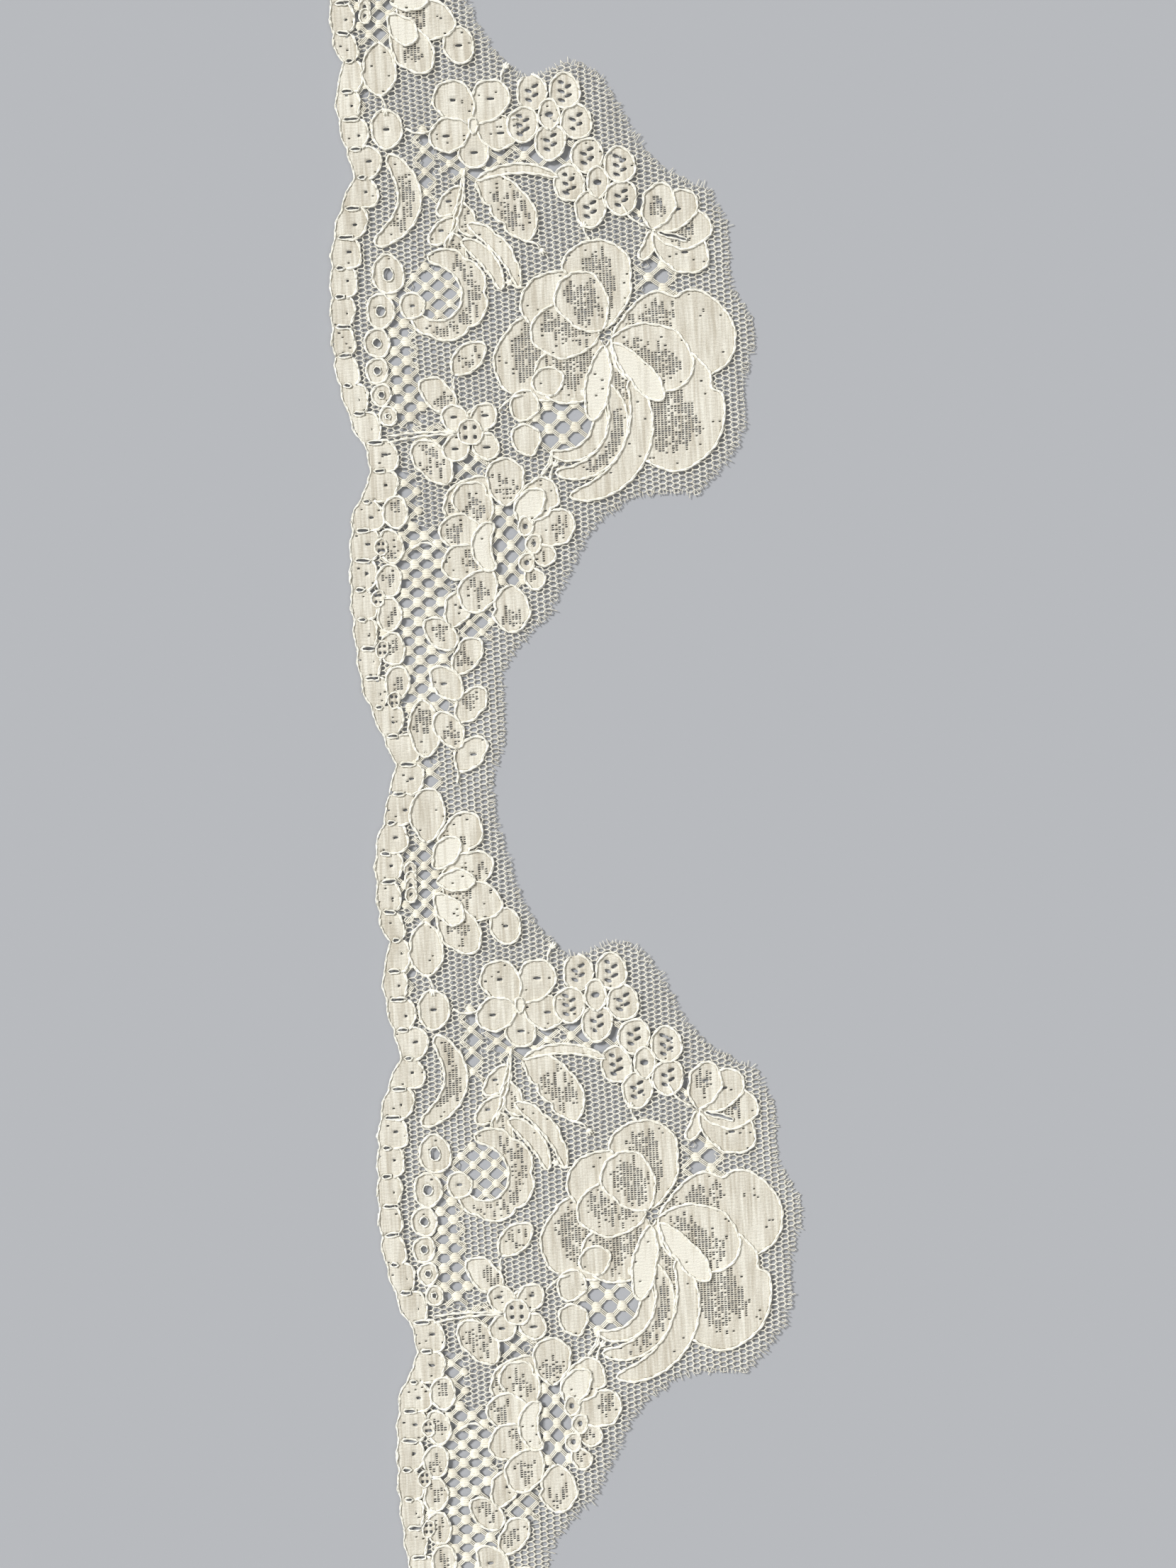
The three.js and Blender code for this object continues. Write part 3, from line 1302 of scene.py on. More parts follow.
@dataclass
class Chart:
    """The whole trim's design laid flat: the work and the motif at each place."""

    outline: TrimOutline
    pattern: Pattern
    line_step: float = 0.2
    cord_step: float = 0.6
    sewing_step: float = 0.06
    least_points: int = 4
    off_cord: int = 6
    ragged: int = 13
    seed: int = 11

    def __post_init__(self) -> None:
        """Paint the fillings, the motifs and the gaps of every repeat, in order."""
        self.columns, self.rows = (math.ceil(side / CHART_STEP) + 1 for side in self.outline.size)
        shape = (self.rows, self.columns)
        self.work = np.full(shape, Work.NET, np.uint8)
        self.top = np.zeros(shape, np.int32)
        self.lift = np.zeros(shape, np.float32)
        self.lattice = np.full(shape, -1, np.int16)
        heights = np.arange(self.rows, dtype=np.float32)[:, None] * CHART_STEP
        self.home = np.tile(heights, (1, self.columns))
        self.random = np.random.RandomState(self.seed)
        self.cords: list[tuple[Array, float, bool]] = []
        self.snap_lines: list[Array] = []
        self._paint()

    def _window(self, points: Array) -> Window:
        """Find the part of the chart round some points.

        Args:
            points: The points.

        Returns:
            The part, empty where they are off the chart.
        """
        size = (self.columns, self.rows)
        low = np.clip(np.floor(points.min(0) / CHART_STEP).astype(int) - 1, 0, size)
        high = np.clip(np.ceil(points.max(0) / CHART_STEP).astype(int) + 2, low, size)
        across, along = np.meshgrid(*(np.arange(low[i], high[i]) * CHART_STEP for i in (0, 1)))
        return Window((slice(low[1], high[1]), slice(low[0], high[0])), across, along)

    def _paint(self) -> None:
        """Fill in the whole chart."""
        fillings = self.pattern.fillings()
        for shift in SHIFTS:
            for number, filling in enumerate(fillings):
                points = filling.shape.outline() + (0, shift)
                window = self._window(points)
                mask = window.covered(points)
                self.work[window.cells][mask] = Work.FILLING
                self.lattice[window.cells][mask] = number
                log.debug("%s: %d places", filling.name, mask.sum())
        laid = []
        for motif in self.pattern.motifs():
            for shift in SHIFTS:
                points = motif.shape.outline() + (0, shift)
                if self._paint_motif(motif, points, len(laid) + 1, shift):
                    laid.append((points, len(laid) + 1, motif))
        window = self._window(np.array([(0, 0), self.outline.size]))
        out = ~window.covered(self.outline.edge)
        self.work[window.cells][out] = Work.OUTSIDE
        self.top[window.cells][out] = len(laid) + 1
        for points, own, motif in laid:
            self._keep_cord(points, own, motif)

    def _paint_motif(self, motif: Motif, points: Array, own: int, shift: float) -> bool:
        """Paint one motif in one repeat, with its half-open work and its holes.

        Args:
            motif: The motif.
            points: Its outline in this repeat.
            own: Its number, which rises with each motif laid.
            shift: Where the repeat starts, along.

        Returns:
            Whether it reaches the chart.
        """
        window = self._window(points)
        mask = window.covered(points)
        if not mask.size:
            return False
        self.work[window.cells][mask] = motif.work
        self.top[window.cells][mask] = own
        self.lift[window.cells][mask] = motif.raised
        if motif.cord:
            self.home[window.cells][mask] = points[:, 1].mean()
        self._shade(motif, mask, window, shift)
        for hole in motif.holes:
            self._open(hole.outline() + (0, shift), own)
        log.debug("%s: %d places", motif.name, mask.sum())
        return True

    def _shade(self, motif: Motif, mask: Array, window: Window, shift: float) -> None:
        """Paint a motif's half-open work, with ragged ends, clear of its cord.

        Args:
            motif: The motif.
            mask: Where in the window it lies.
            window: The part of the chart round it.
            shift: Where its repeat starts, along.
        """
        kept = mask.copy()
        for axis in (0, 1):
            for way in (-self.off_cord, self.off_cord):
                kept &= np.roll(mask, way, axis=axis)
        cell = round(ClothWork.pitch / CHART_STEP)
        for part in motif.shade.value:
            patch = window.covered(motif.shape.patch(part) + (0, shift))
            for first in range(0, patch.shape[1], cell):
                strip = patch[:, first : first + cell]
                strip[:] = np.roll(strip, self.random.randint(-self.ragged, self.ragged + 1), axis=0)
            self.work[window.cells][patch & kept] = Work.LADDER

    def _open(self, points: Array, own: int) -> None:
        """Open a small hole in the work of one motif.

        Args:
            points: The hole's outline.
            own: The motif's number.
        """
        window = self._window(points)
        mask = window.covered(points) & (self.top[window.cells] == own)
        if mask.any():
            self.work[window.cells][mask] = Work.GAP
            self.snap_lines.append(points)

    def _keep_cord(self, points: Array, own: int, motif: Motif) -> None:
        """Keep the stretches of a motif's outline that no later motif covers.

        Args:
            points: The outline.
            own: The motif's number.
            motif: The motif.
        """
        dense = resample(np.vstack([points, points[:1]]), self.line_step)
        seen = self.value(self.top, dense) <= own
        seen &= (dense[:, 1] > 0) & (dense[:, 1] < self.outline.size[1])
        for run in runs(seen):
            stretch = dense[run]
            if len(stretch) < self.least_points:
                continue
            self.snap_lines.append(stretch)
            if motif.cord:
                self.cords.append((resample(stretch, self.cord_step), motif.cord, motif.raised > 0))

    def value(self, layer: Array, places: Array) -> Array:
        """Look places up on a layer.

        Args:
            layer: The layer.
            places: The places, across and along.

        Returns:
            The layer's value at each place.
        """
        column = np.clip(np.rint(places[..., 0] / CHART_STEP).astype(int), 0, self.columns - 1)
        row = np.clip(np.rint(places[..., 1] / CHART_STEP).astype(int), 0, self.rows - 1)
        return layer[row, column]

    def nearest(self) -> KDTree:
        """Gather the points that the work's edges are drawn to.

        Returns:
            A tree of them.
        """
        points = np.vstack([resample(line, self.sewing_step) for line in self.snap_lines])
        tree = KDTree(len(points))
        for i, (across, along) in enumerate(points):
            tree.insert((across, along, 0), i)
        tree.balance()
        return tree


def run_of(line: Array) -> Array:
    """Return how far along an open line each of its points is."""
    return np.concatenate([[0], np.cumsum(np.linalg.norm(np.diff(line, axis=0), axis=1))])


def resample(line: Array, step: float) -> Array:
    """Space the points of an open line evenly.

    Args:
        line: The line's points.
        step: The spacing asked for.

    Returns:
        The same line with evenly spaced points.
    """
    run = run_of(line)
    places = np.linspace(0, run[-1], max(2, round(run[-1] / step) + 1))
    return np.stack([np.interp(places, run, line[:, i]) for i in (0, 1)], 1)


def section_of(along: Array) -> Array:
    """Return which section of the trim each height is in."""
    return np.clip(along // SECTION_LONG, 0, SECTIONS - 1)


def runs(flags: Array) -> list[slice]:
    """Return the unbroken runs of true values."""
    edges = np.flatnonzero(np.diff(np.concatenate([[0], flags.astype(int), [0]])))
    return [slice(start, stop) for start, stop in zip(edges[::2], edges[1::2])]


def sewn(tree: KDTree, place: Array, within: float) -> Array:
    """Draw a place to the nearest cord.

    Args:
        tree: Points of the cords.
        place: The place.
        within: How far off a cord may be.

    Returns:
        The place on the cord, or the same place where no cord is near.
    """
    spot, _, distance = tree.find((place[0], place[1], 0))
    return np.array(spot[:2]) if distance < within else place


@dataclass(frozen=True)
class Stretch:
    """One of the equal lengths in which the trim is made."""

    number: int

    @property
    def first(self) -> float:
        """Return its lowest height."""
        return self.number * SECTION_LONG

    @property
    def last(self) -> float:
        """Return its highest height."""
        return (self.number + 1) * SECTION_LONG

    def holds(self, along: Array | float) -> Array | bool:
        """Say whether a height, or each of several, is in it."""
        return (along >= self.first) & (along < self.last)


# ---- meshes


@dataclass
class Soup:
    """A piece's vertices and faces, gathered part by part, in millimetres."""

    vertices: list[Array] = field(default_factory=list)
    faces: list[Array] = field(default_factory=list)
    uvs: list[Array] = field(default_factory=list)
    painted_light: list[Array] = field(default_factory=list)
    smooth: list[Array] = field(default_factory=list)
    count: int = 0

    def add(
        self,
        vertices: Array,
        faces: Array,
        uvs: Array | None = None,
        painted_light: Array | None = None,
        rims: int = 0,
    ) -> None:
        """Add a part.

        Args:
            vertices: Its vertices.
            faces: Its faces.
            uvs: Map coordinates of its faces' corners, where it has them.
            painted_light: Painted light at each vertex, from 0 (painted shadow colour) to 1 (lit colour).
            rims: How many of its last faces are rims, which are shaded flat.
        """
        self.smooth.append(np.arange(len(faces)) < len(faces) - rims)
        self.painted_light.append(np.zeros(len(vertices)) if painted_light is None else painted_light)
        self.vertices.append(vertices)
        self.faces.append(faces + self.count)
        self.uvs.append(np.zeros((faces.size, 2)) if uvs is None else uvs)
        self.count += len(vertices)


@dataclass(frozen=True)
class Lay:
    """How the flat design lies on the table."""

    low: Pair
    floor_gap: float = 0.2
    wave: float = 0.14
    drift: float = 0.1

    def place(self, points: Array) -> Array:
        """Lay points of the design on the table.

        Args:
            points: The points, across, along and up in millimetres.

        Returns:
            Their places in metres.
        """
        across, along, up = points[:, 0], points[:, 1], points[:, 2]
        swell = self.wave * (1 + np.sin(along / 11 + 0.8 * np.sin(across / 9)) * np.cos(across / 8 + 1))
        x = self.low[0] + across + self.drift * np.sin(along / 5.3 + 1.3) * np.sin(across / 7)
        y = self.low[1] + along + self.drift * np.sin(across / 4.7) * np.sin(along / 9 + 0.4)
        return np.stack([x, y, self.floor_gap + swell + up], 1) * MM


def make_piece(name: str, soup: Soup, lay: Lay, material: bpy.types.Material) -> bpy.types.Object:
    """Make a piece of the gathered parts.

    Args:
        name: The piece's name.
        soup: Its parts.
        lay: How the trim lies.
        material: Its finish.

    Returns:
        The piece, at the origin, with its place in its mesh.
    """
    vertices = lay.place(np.vstack(soup.vertices))
    mesh = bpy.data.meshes.new(name)
    mesh.vertices.add(len(vertices))
    mesh.vertices.foreach_set("co", vertices.astype(np.float32).ravel())
    sizes = np.concatenate([np.full(len(f), f.shape[1]) for f in soup.faces])
    corners = np.concatenate([f.ravel() for f in soup.faces])
    mesh.loops.add(len(corners))
    mesh.loops.foreach_set("vertex_index", corners.astype(np.int32))
    mesh.polygons.add(len(sizes))
    starts = np.concatenate([[0], np.cumsum(sizes)[:-1]])
    mesh.polygons.foreach_set("loop_start", starts.astype(np.int32))
    mesh.polygons.foreach_set("use_smooth", np.concatenate(soup.smooth))
    layer = mesh.uv_layers.new(name=RUN_MAP)
    mesh.update(calc_edges=True)
    layer.data.foreach_set("uv", np.vstack(soup.uvs).astype(np.float32).ravel())
    # The share of painted light at each vertex, which the finishes read to mix lit and painted shadow
    # colour.
    full = mesh.attributes.new(PAINTED_LIGHT, "FLOAT", "POINT")
    full.data.foreach_set("value", np.concatenate(soup.painted_light).astype(np.float32))
    mesh.materials.append(material)
    mesh.validate()
    piece = bpy.data.objects.new(name, mesh)
    bpy.context.scene.collection.objects.link(piece)
    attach(piece, BODY)
    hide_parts(LACE_NODE)
    log.info("%s: %d triangles", name, (sizes - 2).sum())
    return piece


def stick(start: Array, stop: Array, thick: float, up: float) -> tuple[Array, Array]:
    """Make a short thread with pointed ends.

    Args:
        start: Where it starts, across and along.
        stop: Where it ends.
        thick: Its thickness.
        up: Height of its middle.

    Returns:
        Its vertices and its triangular faces.
    """
    run = stop - start
    run = run / max(np.linalg.norm(run), 1e-6)
    side = np.array([-run[1], run[0]]) * thick / 2
    rows = [(*start, up)]
    for t in (POINTED, 1 - POINTED):
        middle = start + t * (stop - start)
        rows += [(*(middle + side), up), (*middle, up + thick / 2)]
        rows += [(*(middle - side), up), (*middle, up - thick / 2)]
    rows.append((*stop, up))
    faces = []
    for i in range(4):
        j = (i + 1) % 4
        faces += [(0, 1 + j, 1 + i), (1 + i, 1 + j, 5 + j), (1 + i, 5 + j, 5 + i), (9, 5 + i, 5 + j)]
    return np.array(rows), np.array(faces)[:, ::-1]


def cell_edges(cells: Array) -> Array:
    """Return every cell's edges, one row each."""
    return np.stack([cells, np.roll(cells, -1, axis=1)], 2).reshape(-1, 2)


def rim_edges(*groups: Array) -> Array:
    """Find the edges that only one cell has.

    Args:
        *groups: Corners of the cells, in groups that have as many corners each.

    Returns:
        The edges, in that cell's direction.
    """
    edges = np.vstack([cell_edges(cells) for cells in groups])
    _, first, seen = np.unique(np.sort(edges, axis=1), axis=0, return_index=True, return_counts=True)
    return edges[first[seen == 1]]


def hole_faces(cells: Array, inner: Array, under: int) -> list[Array]:
    """Join the corners of open cells to the rims of their holes.

    Args:
        cells: Numbers of each cell's corners on top, anticlockwise.
        inner: Numbers of each hole's corners.
        under: What a corner's number rises by for the corner below it.

    Returns:
        The faces above and the faces below.
    """
    following, inner_following = np.roll(cells, -1, axis=1), np.roll(inner, -1, axis=1)
    above = np.stack([cells, following, inner_following, inner], 2).reshape(-1, 4)
    below = np.stack([following + under, cells + under, inner, inner_following], 2).reshape(-1, 4)
    return [above, below]


def rim_faces(rims: Array, under: int) -> Array:
    """Return the upright faces along rim edges, down to the corners below them."""
    return np.column_stack([rims[:, 1], rims[:, 0], rims[:, 0] + under, rims[:, 1] + under])


def layers(places: Array, rise: Array, drop: Array, inner: Array) -> Array:
    """Stack the corners on top, the corners below them and the holes' corners between.

    Args:
        places: Places of the corners.
        rise: Heights of the corners on top.
        drop: Heights of the corners below.
        inner: Places of the holes' corners.

    Returns:
        The vertices.
    """
    flat = np.column_stack([inner, np.zeros(len(inner))])
    return np.vstack([np.column_stack([places, rise]), np.column_stack([places, drop]), flat])


# ---- net


@dataclass
class Net:
    """The six-sided net ground."""

    chart: Chart
    tree: KDTree
    column_pitch: float = 1.058
    row_pitch: float = REPEAT / 177
    strand: float = 0.26
    rise: float = 0.1
    uneven: float = 0.045
    sewn_within: float = 0.9
    # Painted light: the net's strands are painted mostly in the thread's lit colour.
    painted_light: float = 0.75
    least_net_corners: int = 2
    least_hole: float = 0.1
    seed: int = 5

    def __post_init__(self) -> None:
        """Work out the whole net's corners and cells, and sew it to the cords."""
        size = self.chart.outline.size
        unit = np.array([self.column_pitch / 3, self.row_pitch / 2])
        columns = math.ceil(size[0] / self.column_pitch) + 2
        rows = math.ceil(size[1] / self.row_pitch) + 2
        column, row = (grid.ravel() for grid in np.meshgrid(np.arange(columns), np.arange(rows)))
        middle = np.stack([column * 3, row * 2 + column % 2], 1)
        corners = middle[:, None, :] + np.array([(2, 0), (1, 1), (-1, 1), (-2, 0), (-1, -1), (1, -1)])
        unique, index = np.unique(corners.reshape(-1, 2), axis=0, return_inverse=True)
        index = index.reshape(-1, 6)
        random = np.random.RandomState(self.seed)
        places = unique * unit + random.normal(0, self.uneven, unique.shape)
        work = self.chart.value(self.chart.work, places)
        self.middles = middle * unit
        keep = (self.middles > 0).all(1) & (self.middles < size).all(1)
        keep &= self.chart.value(self.chart.work, self.middles) != Work.OUTSIDE
        keep &= (work == Work.NET)[index].sum(1) >= self.least_net_corners
        self.cells, self.middles = index[keep], self.middles[keep]
        for i in np.unique(self.cells):
            if work[i] not in (Work.NET, Work.OUTSIDE):
                places[i] = sewn(self.tree, places[i], self.sewn_within)
        places[:, 1] = np.clip(places[:, 1], 0, size[1])
        self.places = places
        self.height = np.full(len(places), self.rise)
        self.height[rim_edges(self.cells).ravel()] = RIM_RISE

    def build(self, soup: Soup, stretch: Stretch) -> None:
        """Work the net of one stretch, as strands between open cells.

        Args:
            soup: Where the parts go.
            stretch: The stretch.
        """
        cells = self.cells[stretch.holds(self.middles[:, 1])]
        used, flat = np.unique(cells.ravel(), return_inverse=True)
        cells = flat.reshape(cells.shape)
        places, height = self.places[used], self.height[used]
        count = len(places)
        rims = rim_edges(cells)
        corners = places[cells]
        middle = corners.mean(1, keepdims=True)
        reach = np.linalg.norm(corners - middle, axis=2, keepdims=True)
        hole = 1 - self.strand / 2 / np.maximum(reach * SIDE_REACH, 1e-6)
        inner = (middle + (corners - middle) * np.clip(hole, self.least_hole, 1)).reshape(-1, 2)
        inner_number = np.arange(len(inner)).reshape(cells.shape) + 2 * count
        vertices = layers(places, height, -height, inner)
        faces = np.vstack([*hole_faces(cells, inner_number, count), rim_faces(rims, count)])
        soup.add(vertices, faces, painted_light=np.full(len(vertices), self.painted_light), rims=len(rims))


# ---- cloth work


def part_corners(cells: Array, kept: Array) -> Array:
    """Take out cells until none touches another only at a corner.

    Args:
        cells: Which places hold a cell that can be taken out.
        kept: Which places hold a cell that stays.

    Returns:
        The cells that are left.
    """
    left = cells.copy()
    touching = True
    while touching:
        touching = False
        held = np.pad(left | kept, 1)
        low, high = held[:-1], held[1:]
        rising = low[:, :-1] & high[:, 1:] & ~low[:, 1:] & ~high[:, :-1]
        falling = low[:, 1:] & high[:, :-1] & ~low[:, :-1] & ~high[:, 1:]
        for i, j in np.argwhere(rising | falling):
            below, above = (j - 1, j) if rising[i, j] else (j, j - 1)
            for place in ((i, above), (i - 1, below)):
                if left[place]:
                    left[place] = False
                    touching = True
                    break
    return left


@dataclass
class ClothWork:
    """The dense work of petals and lobes, ribbed, with half-open work inside it."""

    chart: Chart
    tree: KDTree
    pitch: float = 0.53
    row: float = 0.34
    crest: float = 0.13
    valley: float = 0.07
    hole: Pair = (0.72, 0.6)
    hole_spread: Pair = (0.62, 1.12)
    pinhole_share: float = 0.018
    sewn_within: float = 0.34
    closed_share: float = 0.17
    seed: int = 23

    def __post_init__(self) -> None:
        """Work out which cells are cloth, and sew the cloth's edges to the cords."""
        size = self.chart.outline.size
        step = self.pitch / 2
        columns, rows = math.ceil(size[0] / self.pitch) + 1, math.ceil(size[1] / self.row)
        column, row = np.meshgrid(np.arange(columns), np.arange(rows))
        middles = np.stack([(column + 0.5) * self.pitch, (row + 0.5) * self.row], 2)
        work = self.chart.value(self.chart.work, middles)
        ladder, cloth = work == Work.LADDER, work == Work.CLOTH
        random = np.random.RandomState(self.seed)
        closed_share = random.uniform(0, 2 * self.closed_share, columns)
        ladder &= random.random_sample(ladder.shape) > closed_share
        ladder |= cloth & (random.random_sample(ladder.shape) < self.pinhole_share)
        halves = np.stack([middles - (step / 2, 0), middles + (step / 2, 0)], 2)
        half_work = self.chart.value(self.chart.work, halves)
        solid = ((half_work == Work.CLOTH) | (half_work == Work.LADDER)) & ~ladder[..., None]
        self.ladder, self.solid = ladder, solid.reshape(rows, -1)
        self.hole_size = random.uniform(*self.hole_spread, ladder.shape)
        self.section = section_of(self.chart.value(self.chart.home, middles))
        self.half_section = section_of(self.chart.value(self.chart.home, halves)).reshape(rows, -1)
        present = self.solid | np.repeat(ladder, 2, axis=1)
        padded = np.pad(present.astype(int), 1)
        around = padded[:-1, :-1] + padded[1:, :-1] + padded[:-1, 1:] + padded[1:, 1:]
        node_row, node_column = np.meshgrid(*(np.arange(n) for n in around.shape), indexing="ij")
        places = np.stack([node_column * step, node_row * self.row], 2)
        border = (around > 0) & (around < 4)
        for i, j in zip(*np.nonzero(border)):
            places[i, j] = sewn(self.tree, places[i, j], self.sewn_within)
        places[..., 1] = np.clip(places[..., 1], 0, size[1])
        self.places = places
        rise = np.where(node_column % 2 == 0, self.crest, self.valley)
        self.rise = np.where(border, RIM_RISE, rise + self.chart.value(self.chart.lift, places))

    def build(self, soup: Soup, section: int) -> None:
        """Work the cloth of one section.

        Args:
            soup: Where the parts go.
            section: Number of the section.
        """
        ladder = self.ladder & (self.section == section)
        solid = self.solid & (self.half_section == section)
        solid = part_corners(solid, np.repeat(ladder, 2, axis=1))
        total = self.rise.size
        number = np.arange(total).reshape(self.rise.shape)
        i, j = np.nonzero(solid)
        cloth = np.stack([number[i, j], number[i, j + 1], number[i + 1, j + 1], number[i + 1, j]], 1)
        i, j = np.nonzero(ladder)
        size = self.hole_size[i, j][:, None, None]
        j = 2 * j
        ring = [(i, j), (i, j + 1), (i, j + 2), (i + 1, j + 2), (i + 1, j + 1), (i + 1, j)]
        holes = np.stack([number[a, b] for a, b in ring], 1)
        flat = self.places.reshape(-1, 2)
        outer = flat[holes]
        middle = outer.mean(1, keepdims=True)
        inner = (middle + (outer - middle) * self.hole * size).reshape(-1, 2)
        inner_number = np.arange(len(inner)).reshape(-1, 6) + 2 * total
        rims = rim_edges(cloth, holes)
        open_faces = hole_faces(holes, inner_number, total)
        faces = np.vstack([cloth, cloth[:, ::-1] + total, *open_faces, rim_faces(rims, total)])
        vertices = layers(flat, self.rise.ravel(), -np.minimum(self.rise, self.crest).ravel(), inner)
        keep = np.unique(faces)
        renumber = np.zeros(len(vertices), int)
        renumber[keep] = np.arange(len(keep))
        # Painted light: raised cloth is painted in the lit colour, flat cloth in the painted shadow colour.
        lift = self.chart.value(self.chart.lift, vertices[keep, :2])
        soup.add(vertices[keep], renumber[faces], painted_light=np.minimum(lift / RAISED_LIFT, 1), rims=len(rims))


# ---- fillings


@dataclass(frozen=True)
class Fillings:
    """The spots and threads of the open fillings."""

    chart: Chart
    stretch: Stretch
    soup: Soup
    spot_pitch: float = 0.2
    spot_overlap: float = 1.5
    spot_round: float = 0.88
    spot_uneven: float = 0.12
    spot_bow: float = 0.05
    spot_step: float = 0.03
    thread: float = 0.19
    thread_gap: float = 0.25
    stray: float = 0.05
    seed: int = 3

    def build(self) -> None:
        """Work the fillings of the stretch."""
        fillings = self.chart.pattern.fillings()
        random = np.random.RandomState(self.seed)
        for shift in SHIFTS:
            for number, filling in enumerate(fillings):
                self._fill(filling, number, shift, random)

    def _fill(self, filling: Lattice, number: int, shift: float, random: np.random.RandomState) -> None:
        """Work what one filling has in a stretch.

        Args:
            filling: The filling.
            number: Its number.
            shift: Where its repeat starts, along.
            random: Where the spots' unevenness is drawn.
        """
        points = filling.shape.outline() + (0, shift)
        pitch = np.array([filling.across_pitch, filling.along_pitch])
        origin = np.array(filling.first) + (0, shift)
        start = np.floor((points.min(0) - origin) / pitch).astype(int) - 1
        stop = np.ceil((points.max(0) - origin) / pitch).astype(int) + 2
        for i in range(start[0], stop[0]):
            for j in range(start[1], stop[1]):
                if (i + j) % 2 == 0:
                    continue
                middle = origin + pitch * (i, j) + random.normal(0, self.stray, 2)
                if self.stretch.holds(middle[1]) and self._in_filling(middle, number):
                    self._spot(middle, pitch[0] * filling.spot, pitch[1] * filling.spot)
                for way in (-1, 1):
                    other = middle + pitch * (way, 1)
                    if self.stretch.holds((middle[1] + other[1]) / 2):
                        self._threads(middle, other, number)

    def _in_filling(self, place: Array, number: int) -> bool:
        """Say whether a place is in the open part of a filling.

        Args:
            place: The place.
            number: The filling's number.

        Returns:
            Whether it is.
        """
        if not (0 < place[0] < self.chart.outline.size[0] and 0 < place[1] < self.chart.outline.size[1]):
            return False
        here = self.chart.value(self.chart.work, place) == Work.FILLING
        return bool(here and self.chart.value(self.chart.lattice, place) == number)

    def _spot(self, middle: Array, wide: float, long: float) -> None:
        """Work one spot: short threads side by side, the middle ones the longest.

        Args:
            middle: The spot's middle.
            wide: Its width.
            long: Its length.
        """
        rows = math.ceil(long / self.spot_pitch)
        for row in range(rows):
            up = (row + 0.5) / rows * 2 - 1
            uneven = 1 + self.spot_uneven * math.sin(7 * middle[0] + 5 * row)
            reach = wide / 2 * math.sqrt(1 - self.spot_round * up * up) * uneven
            bow = self.spot_bow * math.sin(3 * middle[1] + row)
            left = middle + (-reach, up * long / 2 - bow)
            right = middle + (reach, up * long / 2 + bow)
            height = self.spot_step * (row % 2)
            self.soup.add(*stick(left, right, self.spot_overlap * self.spot_pitch, height))

    def _threads(self, start: Array, stop: Array, number: int) -> None:
        """Lay threads between two spots, or from a spot to the cord beside it.

        Args:
            start: Middle of one spot.
            stop: Middle of the other.
            number: The filling's number.
        """
        if not any(self._in_filling(start + (stop - start) * t, number) for t in (0.3, 0.5, 0.7)):
            return
        side = np.array([-(stop - start)[1], (stop - start)[0]])
        side = side / np.linalg.norm(side) * self.thread_gap
        for way in (-1, 0, 1):
            self.soup.add(*stick(start + side * way, stop + side * way, self.thread, 0))


# ---- cord


